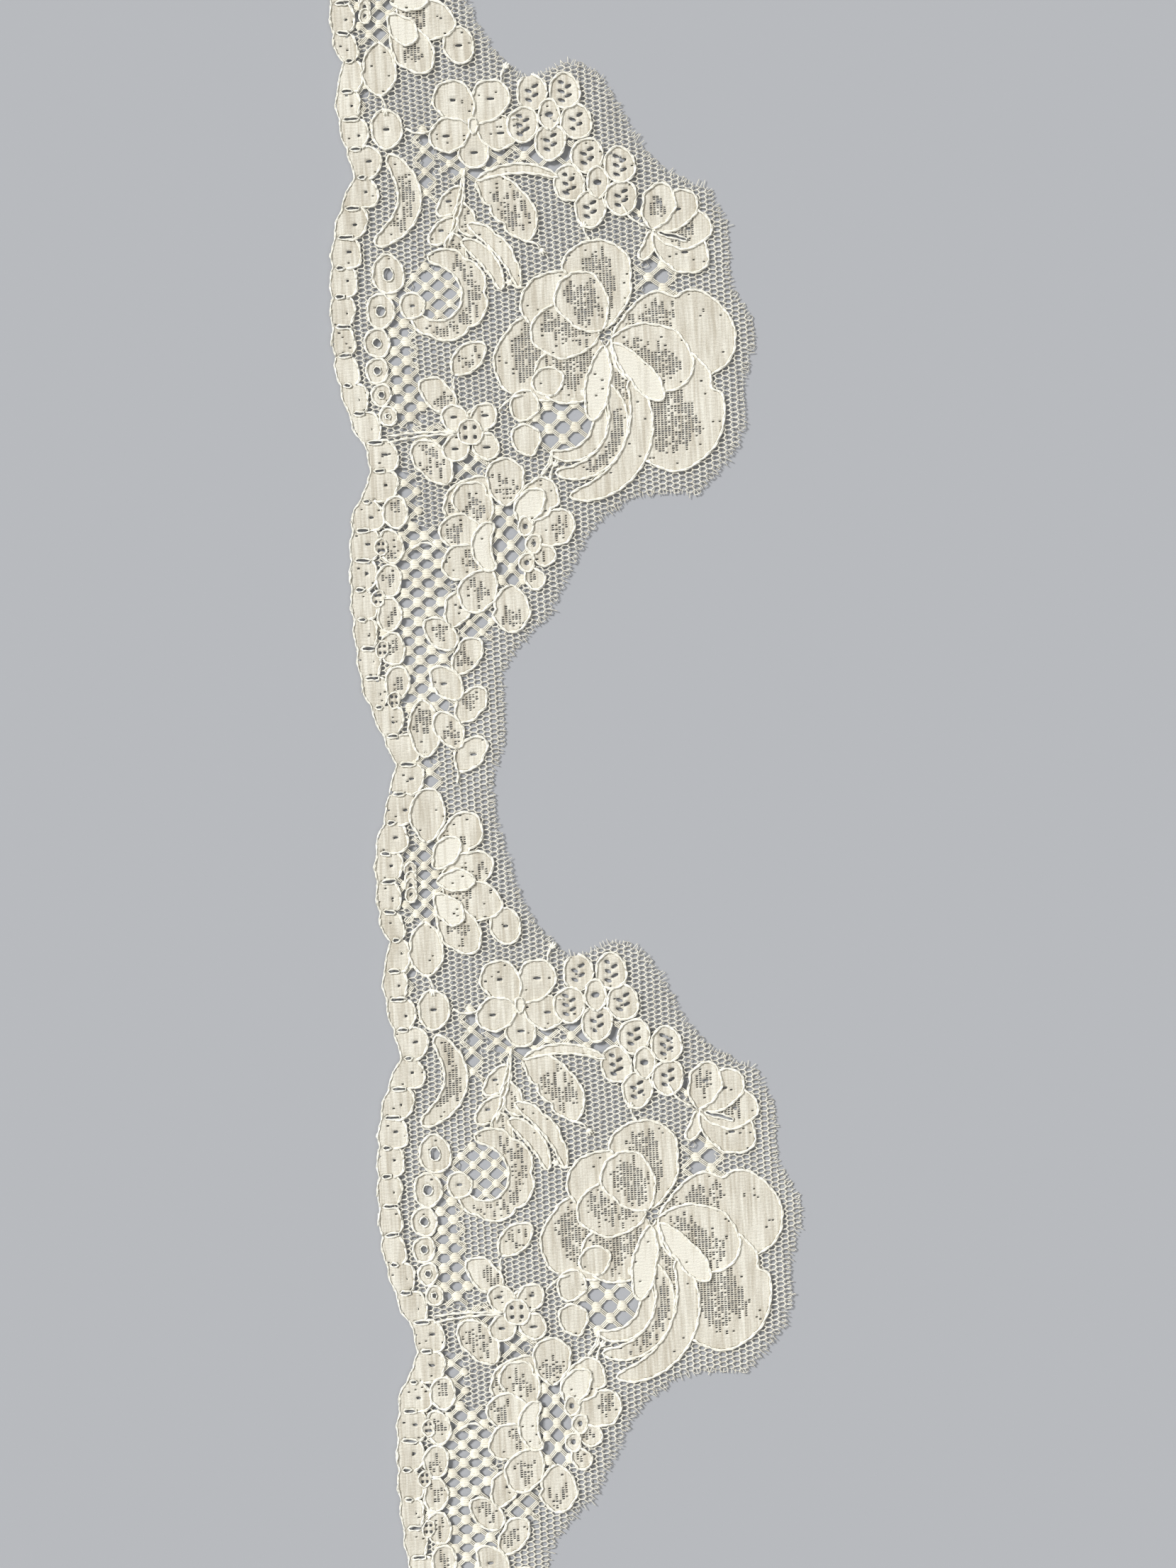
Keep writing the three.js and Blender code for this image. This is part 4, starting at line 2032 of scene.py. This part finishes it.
@dataclass(frozen=True)
class Cordonnet:
    """The raised cord round the motifs, the stems and the edging."""

    chart: Chart
    stretch: Stretch
    soup: Soup
    sides: int = 5
    strands: int = 2
    strand_share: float = 0.68
    strand_offset: float = 0.24
    pressed: float = 0.6
    end_share: float = 0.55
    lay: float = 4.2
    height: float = 0.2
    sway: float = 0.05
    unevenness: float = 0.1
    stem_step: float = 0.55
    stem_lift: float = 0.06
    least_points: int = 3
    edging: float = 0.3
    edging_low: float = 0.6
    edging_step: float = 0.4
    edging_inset: float = 0.12
    edging_clear: float = 0.2
    tuft_turns: tuple[float, ...] = (-38, -12, 14, 40)
    tuft_long: float = 1.3
    tuft_round: float = 80.0
    tuft_thread: float = 0.34
    tuft_lift: float = 0.05

    def _cord(self, line: Array, thick: float, up: float) -> None:
        """Lay one stretch of cord, of strands that turn slowly round each other.

        Args:
            line: Points of its line.
            thick: Its thickness.
            up: Height of its middle.
        """
        normal = side_normals(line)
        run = run_of(line)
        phase = 3.7 * line[0, 0] + 5.1 * line[0, 1]
        swing = np.sin(2.3 * run + phase) + 0.7 * np.sin(4.9 * run - phase)
        line = line + normal * (self.sway * swing)[:, None]
        for strand in range(self.strands):
            turn = 2 * math.pi * (run / self.lay + strand / self.strands) + phase
            aside = self.strand_offset * thick * np.cos(turn)
            above = self.strand_offset * thick * np.sin(turn) * self.pressed
            uneven = 1 + self.unevenness * np.sin(3.7 * run + 2 * phase + strand)
            radius = self.strand_share * thick / 2 * uneven
            radius[[0, -1]] *= self.end_share
            self._tube(line + normal * aside[:, None], normal, run, radius, up + above)

    def _tube(self, line: Array, normal: Array, run: Array, radius: Array, up: Array) -> None:
        """Sweep one strand along a line, with closed ends.

        Args:
            line: The line's points.
            normal: Unit normals to its left.
            run: Length along it at each point.
            radius: The strand's radius at each point.
            up: Height of its middle at each point.
        """
        count = len(line)
        angle = np.linspace(0, 2 * math.pi, self.sides, endpoint=False)
        ring_offset = np.cos(angle)[None, :, None] * radius[:, None, None]
        across = line[:, None, :] + normal[:, None, :] * ring_offset
        height = up[:, None] + np.sin(angle)[None, :] * radius[:, None]
        vertices = np.dstack([across, height]).reshape(-1, 3)
        ring = np.arange(self.sides)
        turn = (ring + 1) % self.sides
        base = (np.arange(count - 1) * self.sides)[:, None]
        faces = np.stack([base + ring, base + turn, base + self.sides + turn, base + self.sides + ring], 2)
        faces = faces.reshape(-1, 4)[:, ::-1]
        u = np.stack([run[:-1], run[:-1], run[1:], run[1:]], 1)[:, None, :].repeat(self.sides, 1)
        v = np.stack([ring, ring + 1, ring + 1, ring], 1)[None].repeat(count - 1, 0) / self.sides
        uv = np.stack([u, v], 3).reshape(-1, 4, 2)[:, ::-1].reshape(-1, 2)
        self.soup.add(vertices, faces, uv)
        ends = np.array([ring, ring[::-1] + (count - 1) * self.sides])
        self.soup.add(np.zeros((0, 3)), ends - len(vertices))

    def build(self) -> None:
        """Lay the cords of the stretch: outlines, stems, edging and tufts."""
        for line, thick, raised in self.chart.cords:
            if self.stretch.holds(line[:, 1].mean()):
                self._cord(line, thick, self.height + (RAISED_LIFT if raised else 0))
        for shift in SHIFTS:
            for tendril in self.chart.pattern.tendrils():
                line = smooth_route(tendril.route, self.stem_step) + (0, shift)
                if self.stretch.holds(line[:, 1].mean()) and line[:, 1].min() > 0:
                    self._stem(line, tendril)
        self._edging()
        for shift in SHIFTS:
            for (across, along), turn in self.chart.pattern.tufts():
                if self.stretch.holds(along + shift) and along + shift > 1:
                    self._tuft(np.array([across, along + shift]), turn)

    def _stem(self, line: Array, tendril: Tendril) -> None:
        """Lay a loose stem, apart from what passes under other work.

        Args:
            line: Points of its line.
            tendril: The stem.
        """
        log.debug("%s: %d points", tendril.name, len(line))
        shown = np.ones(len(line), bool)
        if tendril.under:
            shown = ~np.isin(self.chart.value(self.chart.work, line), (Work.CLOTH, Work.LADDER))
        for run in runs(shown):
            if run.stop - run.start > self.least_points:
                self._cord(line[run], tendril.thick, self.height + self.stem_lift)

    def _edging(self) -> None:
        """Lay the thin cord along the lobed edge."""
        outline = self.chart.outline
        start = max(self.stretch.first, self.edging_clear)
        stop = min(self.stretch.last, outline.size[1] - self.edging_clear) + 0.01
        along = np.arange(start, stop, self.edging_step)
        across = np.array([outline.lobed_edge(a) for a in along]) + self.edging_inset
        self._cord(np.stack([across, along], 1), self.edging, self.height * self.edging_low)

    def _tuft(self, foot: Array, turn: float) -> None:
        """Fan out the clipped end of a cord.

        Args:
            foot: Where the cord ends.
            turn: Which way it points, in degrees.
        """
        for spread in self.tuft_turns:
            way = math.radians(turn + spread)
            reach = self.tuft_long - abs(spread) / self.tuft_round
            tip = foot + reach * np.array([math.cos(way), math.sin(way)])
            self.soup.add(*stick(foot, tip, self.tuft_thread, self.height + self.tuft_lift))


# ---- cut edges


@dataclass(frozen=True)
class CutThreads:
    """The clipped thread ends along the scalloped edge."""

    chart: Chart
    thick: float = 0.12
    spacing: float = 0.62
    long: Pair = (0.1, 0.75)
    lean: float = 0.35
    rooted: float = 0.5
    lobed_share: float = 0.25
    seed: int = 17

    def build(self, soup: Soup) -> None:
        """Stand the clipped ends out along the scalloped edge.

        Args:
            soup: Where the parts go.
        """
        edge = self.chart.outline.edge
        closed = resample(np.vstack([edge, edge[:1]]), self.spacing)
        size = self.chart.outline.size
        random = np.random.RandomState(self.seed)
        for place, out in zip(closed, -side_normals(closed)):
            long = random.uniform(*self.long)
            lean = random.normal(0, self.lean, 2)
            if place[0] >= size[0] * self.lobed_share and 1 < place[1] < size[1] - 1:
                soup.add(*stick(place - out * self.rooted, place + (out + lean) * long, self.thick, 0))


# ---- finishes


@dataclass(frozen=True)
class ThreadFinish:
    """The finish of one kind of thread work."""

    name: str
    colour: Triple
    # A darker tone: painted shadow colour, which the thread takes where its share of painted light is low,
    # in lengthwise streaks along the ribs, and at random.
    shadow: Triple
    roughness: float
    sheen: float
    bump: float
    streaks: float = 0.0
    twist: bool = False


# Each thread is painted in its lit colour and a painted shadow colour.
NET_FINISH = ThreadFinish("net thread", (0.86, 0.83, 0.72), (0.72, 0.68, 0.57), 0.9, 0.15, 0.15)
CLOTH_FINISH = ThreadFinish(
    "cloth work", (0.82, 0.79, 0.69), (0.56, 0.515, 0.42), 0.9, 0.1, 0.6, streaks=0.8
)
CORD_FINISH = ThreadFinish("cord", (0.94, 0.92, 0.83), (0.84, 0.81, 0.70), 0.8, 0.2, 0.5, twist=True)


def add_node(tree: Tree, kind: str, **inputs: float | tuple[float, ...]) -> Node:
    """Add a shader node.

    Args:
        tree: Where it goes.
        kind: Its kind.
        **inputs: Values of its inputs, named with underscores for spaces.

    Returns:
        The node.
    """
    node = tree.nodes.new(f"ShaderNode{kind}")
    for label, value in inputs.items():
        node.inputs[label.replace("_", " ")].default_value = value
    return node


def add_sum(tree: Tree, first: Socket, second: Socket) -> Socket:
    """Add up two outputs in a new node.

    Args:
        tree: Where it goes.
        first: One output.
        second: The other.

    Returns:
        Their sum.
    """
    node = tree.nodes.new("ShaderNodeMath")
    join(tree, (first, node.inputs[0]), (second, node.inputs[1]))
    return node.outputs[0]


def join(tree: Tree, *pairs: tuple[Socket, Socket]) -> None:
    """Join each output to its input."""
    for output, entry in pairs:
        tree.links.new(output, entry)


class NodeKit:
    """Shader node groups that the finishes share."""

    def __init__(self) -> None:
        """Build the groups once."""
        self.tone = self._tone_group()
        self.weave = self._weave_group()
        self.twist = self._twist_group()

    def _new(self, name: str, inputs: dict[str, str], outputs: dict[str, str]) -> tuple[Tree, Node, Node]:
        """Start a group.

        Args:
            name: Its name.
            inputs: Its inputs, each with its kind.
            outputs: Its outputs, each with its kind.

        Returns:
            The group, and its nodes for inputs and for outputs.
        """
        group = bpy.data.node_groups.new(name, "ShaderNodeTree")
        for way, sockets in (("INPUT", inputs), ("OUTPUT", outputs)):
            for label, kind in sockets.items():
                group.interface.new_socket(label, in_out=way, socket_type=f"NodeSocket{kind}")
        return group, group.nodes.new("NodeGroupInput"), group.nodes.new("NodeGroupOutput")

    def _noise(self, group: Tree, place: Node, scale: float, stretch: Triple = (1, 1, 1)) -> Socket:
        """Add a noise on the piece's own coordinates.

        Args:
            group: Where it goes.
            place: The node that gives the coordinates.
            scale: How fine it is.
            stretch: How much finer it is along each axis.

        Returns:
            Its output.
        """
        fit = add_node(group, "Mapping", Scale=stretch)
        noise = add_node(group, "TexNoise", Scale=scale)
        stretched = (fit.outputs["Vector"], noise.inputs["Vector"])
        join(group, (place.outputs["Object"], fit.inputs["Vector"]), stretched)
        return noise.outputs["Fac"]

    def _tone_group(self) -> Tree:
        """Mix a thread's lit colour and its painted shadow colour: by the share of painted light, by slow
        and fine unevenness, and by lengthwise streaks.

        Returns:
            The group.
        """
        inputs = {"Colour": "Color", "Shadow": "Color", "Streaks": "Float"}
        group, start, end = self._new("thread tone", inputs, {"Colour": "Color"})
        place = add_node(group, "TexCoord")
        even = add_sum(group, self._noise(group, place, 220), self._noise(group, place, 2600))
        streak = self._noise(group, place, 1, (2600, 160, 1))
        lines = add_sum(group, streak, self._noise(group, place, 1, (1100, 60, 1)))
        blend = add_node(group, "Mix")
        widen = add_node(group, "MapRange", From_Min=0.8, From_Max=1.2)
        # The share of painted light pulls the tone towards the lit colour.
        full = add_node(group, "Attribute")
        full.attribute_name = PAINTED_LIGHT
        most = add_node(group, "Math")
        most.operation = "MULTIPLY_ADD"
        most.use_clamp = True
        most.inputs[1].default_value = 0.6
        mix = add_node(group, "Mix")
        mix.data_type = "RGBA"
        join(
            group,
            (start.outputs["Streaks"], blend.inputs["Factor"]),
            (even, blend.inputs["A"]),
            (lines, blend.inputs["B"]),
            (blend.outputs["Result"], widen.inputs["Value"]),
            (full.outputs["Fac"], most.inputs[0]),
            (widen.outputs["Result"], most.inputs[2]),
            (most.outputs[0], mix.inputs["Factor"]),
            (start.outputs["Shadow"], mix.inputs["A"]),
            (start.outputs["Colour"], mix.inputs["B"]),
            (mix.outputs["Result"], end.inputs["Colour"]),
        )
        return group

    def _weave_group(self) -> Tree:
        """Give the height of the fine threads that cross the ribs.

        Returns:
            The group.
        """
        group, _, end = self._new("cloth weave", {}, {"Height": "Float"})
        place = add_node(group, "TexCoord")
        wave = add_node(group, "TexWave", Scale=1450, Distortion=2.5, Detail_Scale=1.5)
        wave.bands_direction = "Y"
        noise = add_node(group, "TexNoise", Scale=3500)
        for texture in (wave, noise):
            join(group, (place.outputs["Object"], texture.inputs["Vector"]))
        join(group, (add_sum(group, wave.outputs["Fac"], noise.outputs["Fac"]), end.inputs["Height"]))
        return group

    def _twist_group(self) -> Tree:
        """Give the height of a cord's twisted strands along its run.

        Returns:
            The group.
        """
        group, _, end = self._new("cord twist", {}, {"Height": "Float"})
        place = add_node(group, "UVMap")
        place.uv_map = RUN_MAP
        turn = add_node(group, "Mapping", Scale=(0.45, 0.5, 1), Rotation=(0, 0, 0.75))
        wave = add_node(group, "TexWave", Scale=1.2, Distortion=1.0)
        join(
            group,
            (place.outputs["UV"], turn.inputs["Vector"]),
            (turn.outputs["Vector"], wave.inputs["Vector"]),
            (wave.outputs["Fac"], end.inputs["Height"]),
        )
        return group

    def material(self, finish: ThreadFinish) -> bpy.types.Material:
        """Make the material of a finish.

        Args:
            finish: The thread work's finish.

        Returns:
            Its material.
        """
        material, shader = plain_material(finish.name, finish.roughness, 0.3)
        shader.inputs["Sheen Weight"].default_value = finish.sheen
        shader.inputs["Sheen Roughness"].default_value = 0.5
        tree = material.node_tree
        tone = add_node(tree, "Group")
        tone.node_tree = self.tone
        tone.inputs["Colour"].default_value = (*finish.colour, 1)
        tone.inputs["Shadow"].default_value = (*finish.shadow, 1)
        tone.inputs["Streaks"].default_value = finish.streaks
        bump = add_node(tree, "Bump", Strength=finish.bump, Distance=BUMP_DEEP * MM)
        height = add_node(tree, "Group")
        height.node_tree = self.twist if finish.twist else self.weave
        join(
            tree,
            (tone.outputs["Colour"], shader.inputs["Base Color"]),
            (height.outputs["Height"], bump.inputs["Height"]),
            (bump.outputs["Normal"], shader.inputs["Normal"]),
        )
        return material


def plain_material(name: str, roughness: float, gloss: float) -> tuple[bpy.types.Material, Node]:
    """Start a material.

    Args:
        name: Its name.
        roughness: Its roughness.
        gloss: How strongly it reflects.

    Returns:
        The material and its shader.
    """
    material = bpy.data.materials.new(name)
    material.use_nodes = True
    shader = material.node_tree.nodes["Principled BSDF"]
    shader.inputs["Roughness"].default_value = roughness
    shader.inputs["Specular IOR Level"].default_value = gloss
    return material, shader


# ---- assembly and studio


@dataclass
class LaceTrim:
    """The whole trim: its ground, cloth work, fillings, cords and cut ends."""

    outline: TrimOutline
    kit: NodeKit

    def build(self) -> None:
        chart = Chart(self.outline, Pattern(self.outline))
        log.info("chart: %d cord stretches", len(chart.cords))
        tree = chart.nearest()
        lay = Lay(self.outline.low)
        net, cloth, cord = (self.kit.material(finish) for finish in (NET_FINISH, CLOTH_FINISH, CORD_FINISH))
        net_ground, cloth_work = Net(chart, tree), ClothWork(chart, tree)
        for section in range(SECTIONS):
            stretch = Stretch(section)
            ground, cords, filling = Soup(), Soup(), Soup()
            net_ground.build(ground, stretch)
            cloth_work.build(ground, section)
            Fillings(chart, stretch, filling).build()
            Cordonnet(chart, stretch, cords).build()
            ground_piece = make_piece(f"ground_{section + 1}", ground, lay, cloth)
            filling_piece = make_piece(f"fillings_{section + 1}", filling, lay, net)
            cord_piece = make_piece(f"cords_{section + 1}", cords, lay, cord)
        ends = Soup()
        CutThreads(chart).build(ends)
        make_piece("clipped_ends", ends, lay, net)


@dataclass(frozen=True)
class Lamp:
    """A lamp that lights the trim evenly from one side, with shadows so many degrees soft."""

    name: str
    place: Triple
    softness: float
    strength: float

    def hang(self) -> None:
        """Hang the lamp."""
        data = bpy.data.lights.new(self.name, "SUN")
        data.angle = math.radians(self.softness)
        data.energy = self.strength
        lamp = bpy.data.objects.new(self.name, data)
        lamp.location = self.place
        lamp.rotation_euler = (-Vector(self.place)).to_track_quat("-Z", "Y").to_euler()
        bpy.context.scene.collection.objects.link(lamp)


@dataclass(frozen=True)
class Studio:
    """Floor, lights and camera."""

    outline: TrimOutline
    view_across: float = 36.5
    lens: float = 50.0
    height: float = 0.3416
    roll: float = 3.05
    floor_colour: Triple = (0.4, 0.41, 0.43)
    floor_half: float = 6.0
    sky_strength: float = 0.34
    lamps: tuple[Lamp, ...] = (
        Lamp("key", (-0.5, 0.35, 0.5), 18, 3.7), Lamp("fill", (0.5, -0.3, 0.7), 45, 0.46)
    )

    def build(self) -> None:
        """Set up the plain studio."""
        self._camera()
        self._floor()
        for lamp in self.lamps:
            lamp.hang()
        world = bpy.data.worlds.new("studio")
        world.use_nodes = True
        sky = world.node_tree.nodes["Background"]
        sky.inputs["Color"].default_value = (1, 1, 1, 1)
        sky.inputs["Strength"].default_value = self.sky_strength
        bpy.context.scene.world = world
        bpy.context.scene.view_settings.view_transform = "Standard"

    def _camera(self) -> None:
        """Look straight down on the trim."""
        data = bpy.data.cameras.new("camera")
        data.lens = self.lens
        camera = bpy.data.objects.new("camera", data)
        across = (self.outline.low[0] + self.view_across) * MM
        camera.location = (across, 0, self.height)
        camera.rotation_euler = (0, 0, -math.radians(self.roll))
        bpy.context.scene.collection.objects.link(camera)
        bpy.context.scene.camera = camera

    def _floor(self) -> None:
        """Lay the plain floor."""
        bpy.ops.object.select_all(action="DESELECT")
        bpy.ops.mesh.primitive_plane_add(size=2 * self.floor_half, location=(0, 0, 0))
        floor = bpy.context.active_object
        floor.name = "floor"
        material, shader = plain_material("floor", 1.0, 0.0)
        shader.inputs["Base Color"].default_value = (*self.floor_colour, 1)
        floor.data.materials.append(material)


def main() -> None:
    """Build the trim and the studio."""
    logging.basicConfig(level=logging.INFO, format="%(message)s")
    outline = TrimOutline()
    Studio(outline).build()
    LaceTrim(outline, NodeKit()).build()


if __name__ == "__main__":
    main()
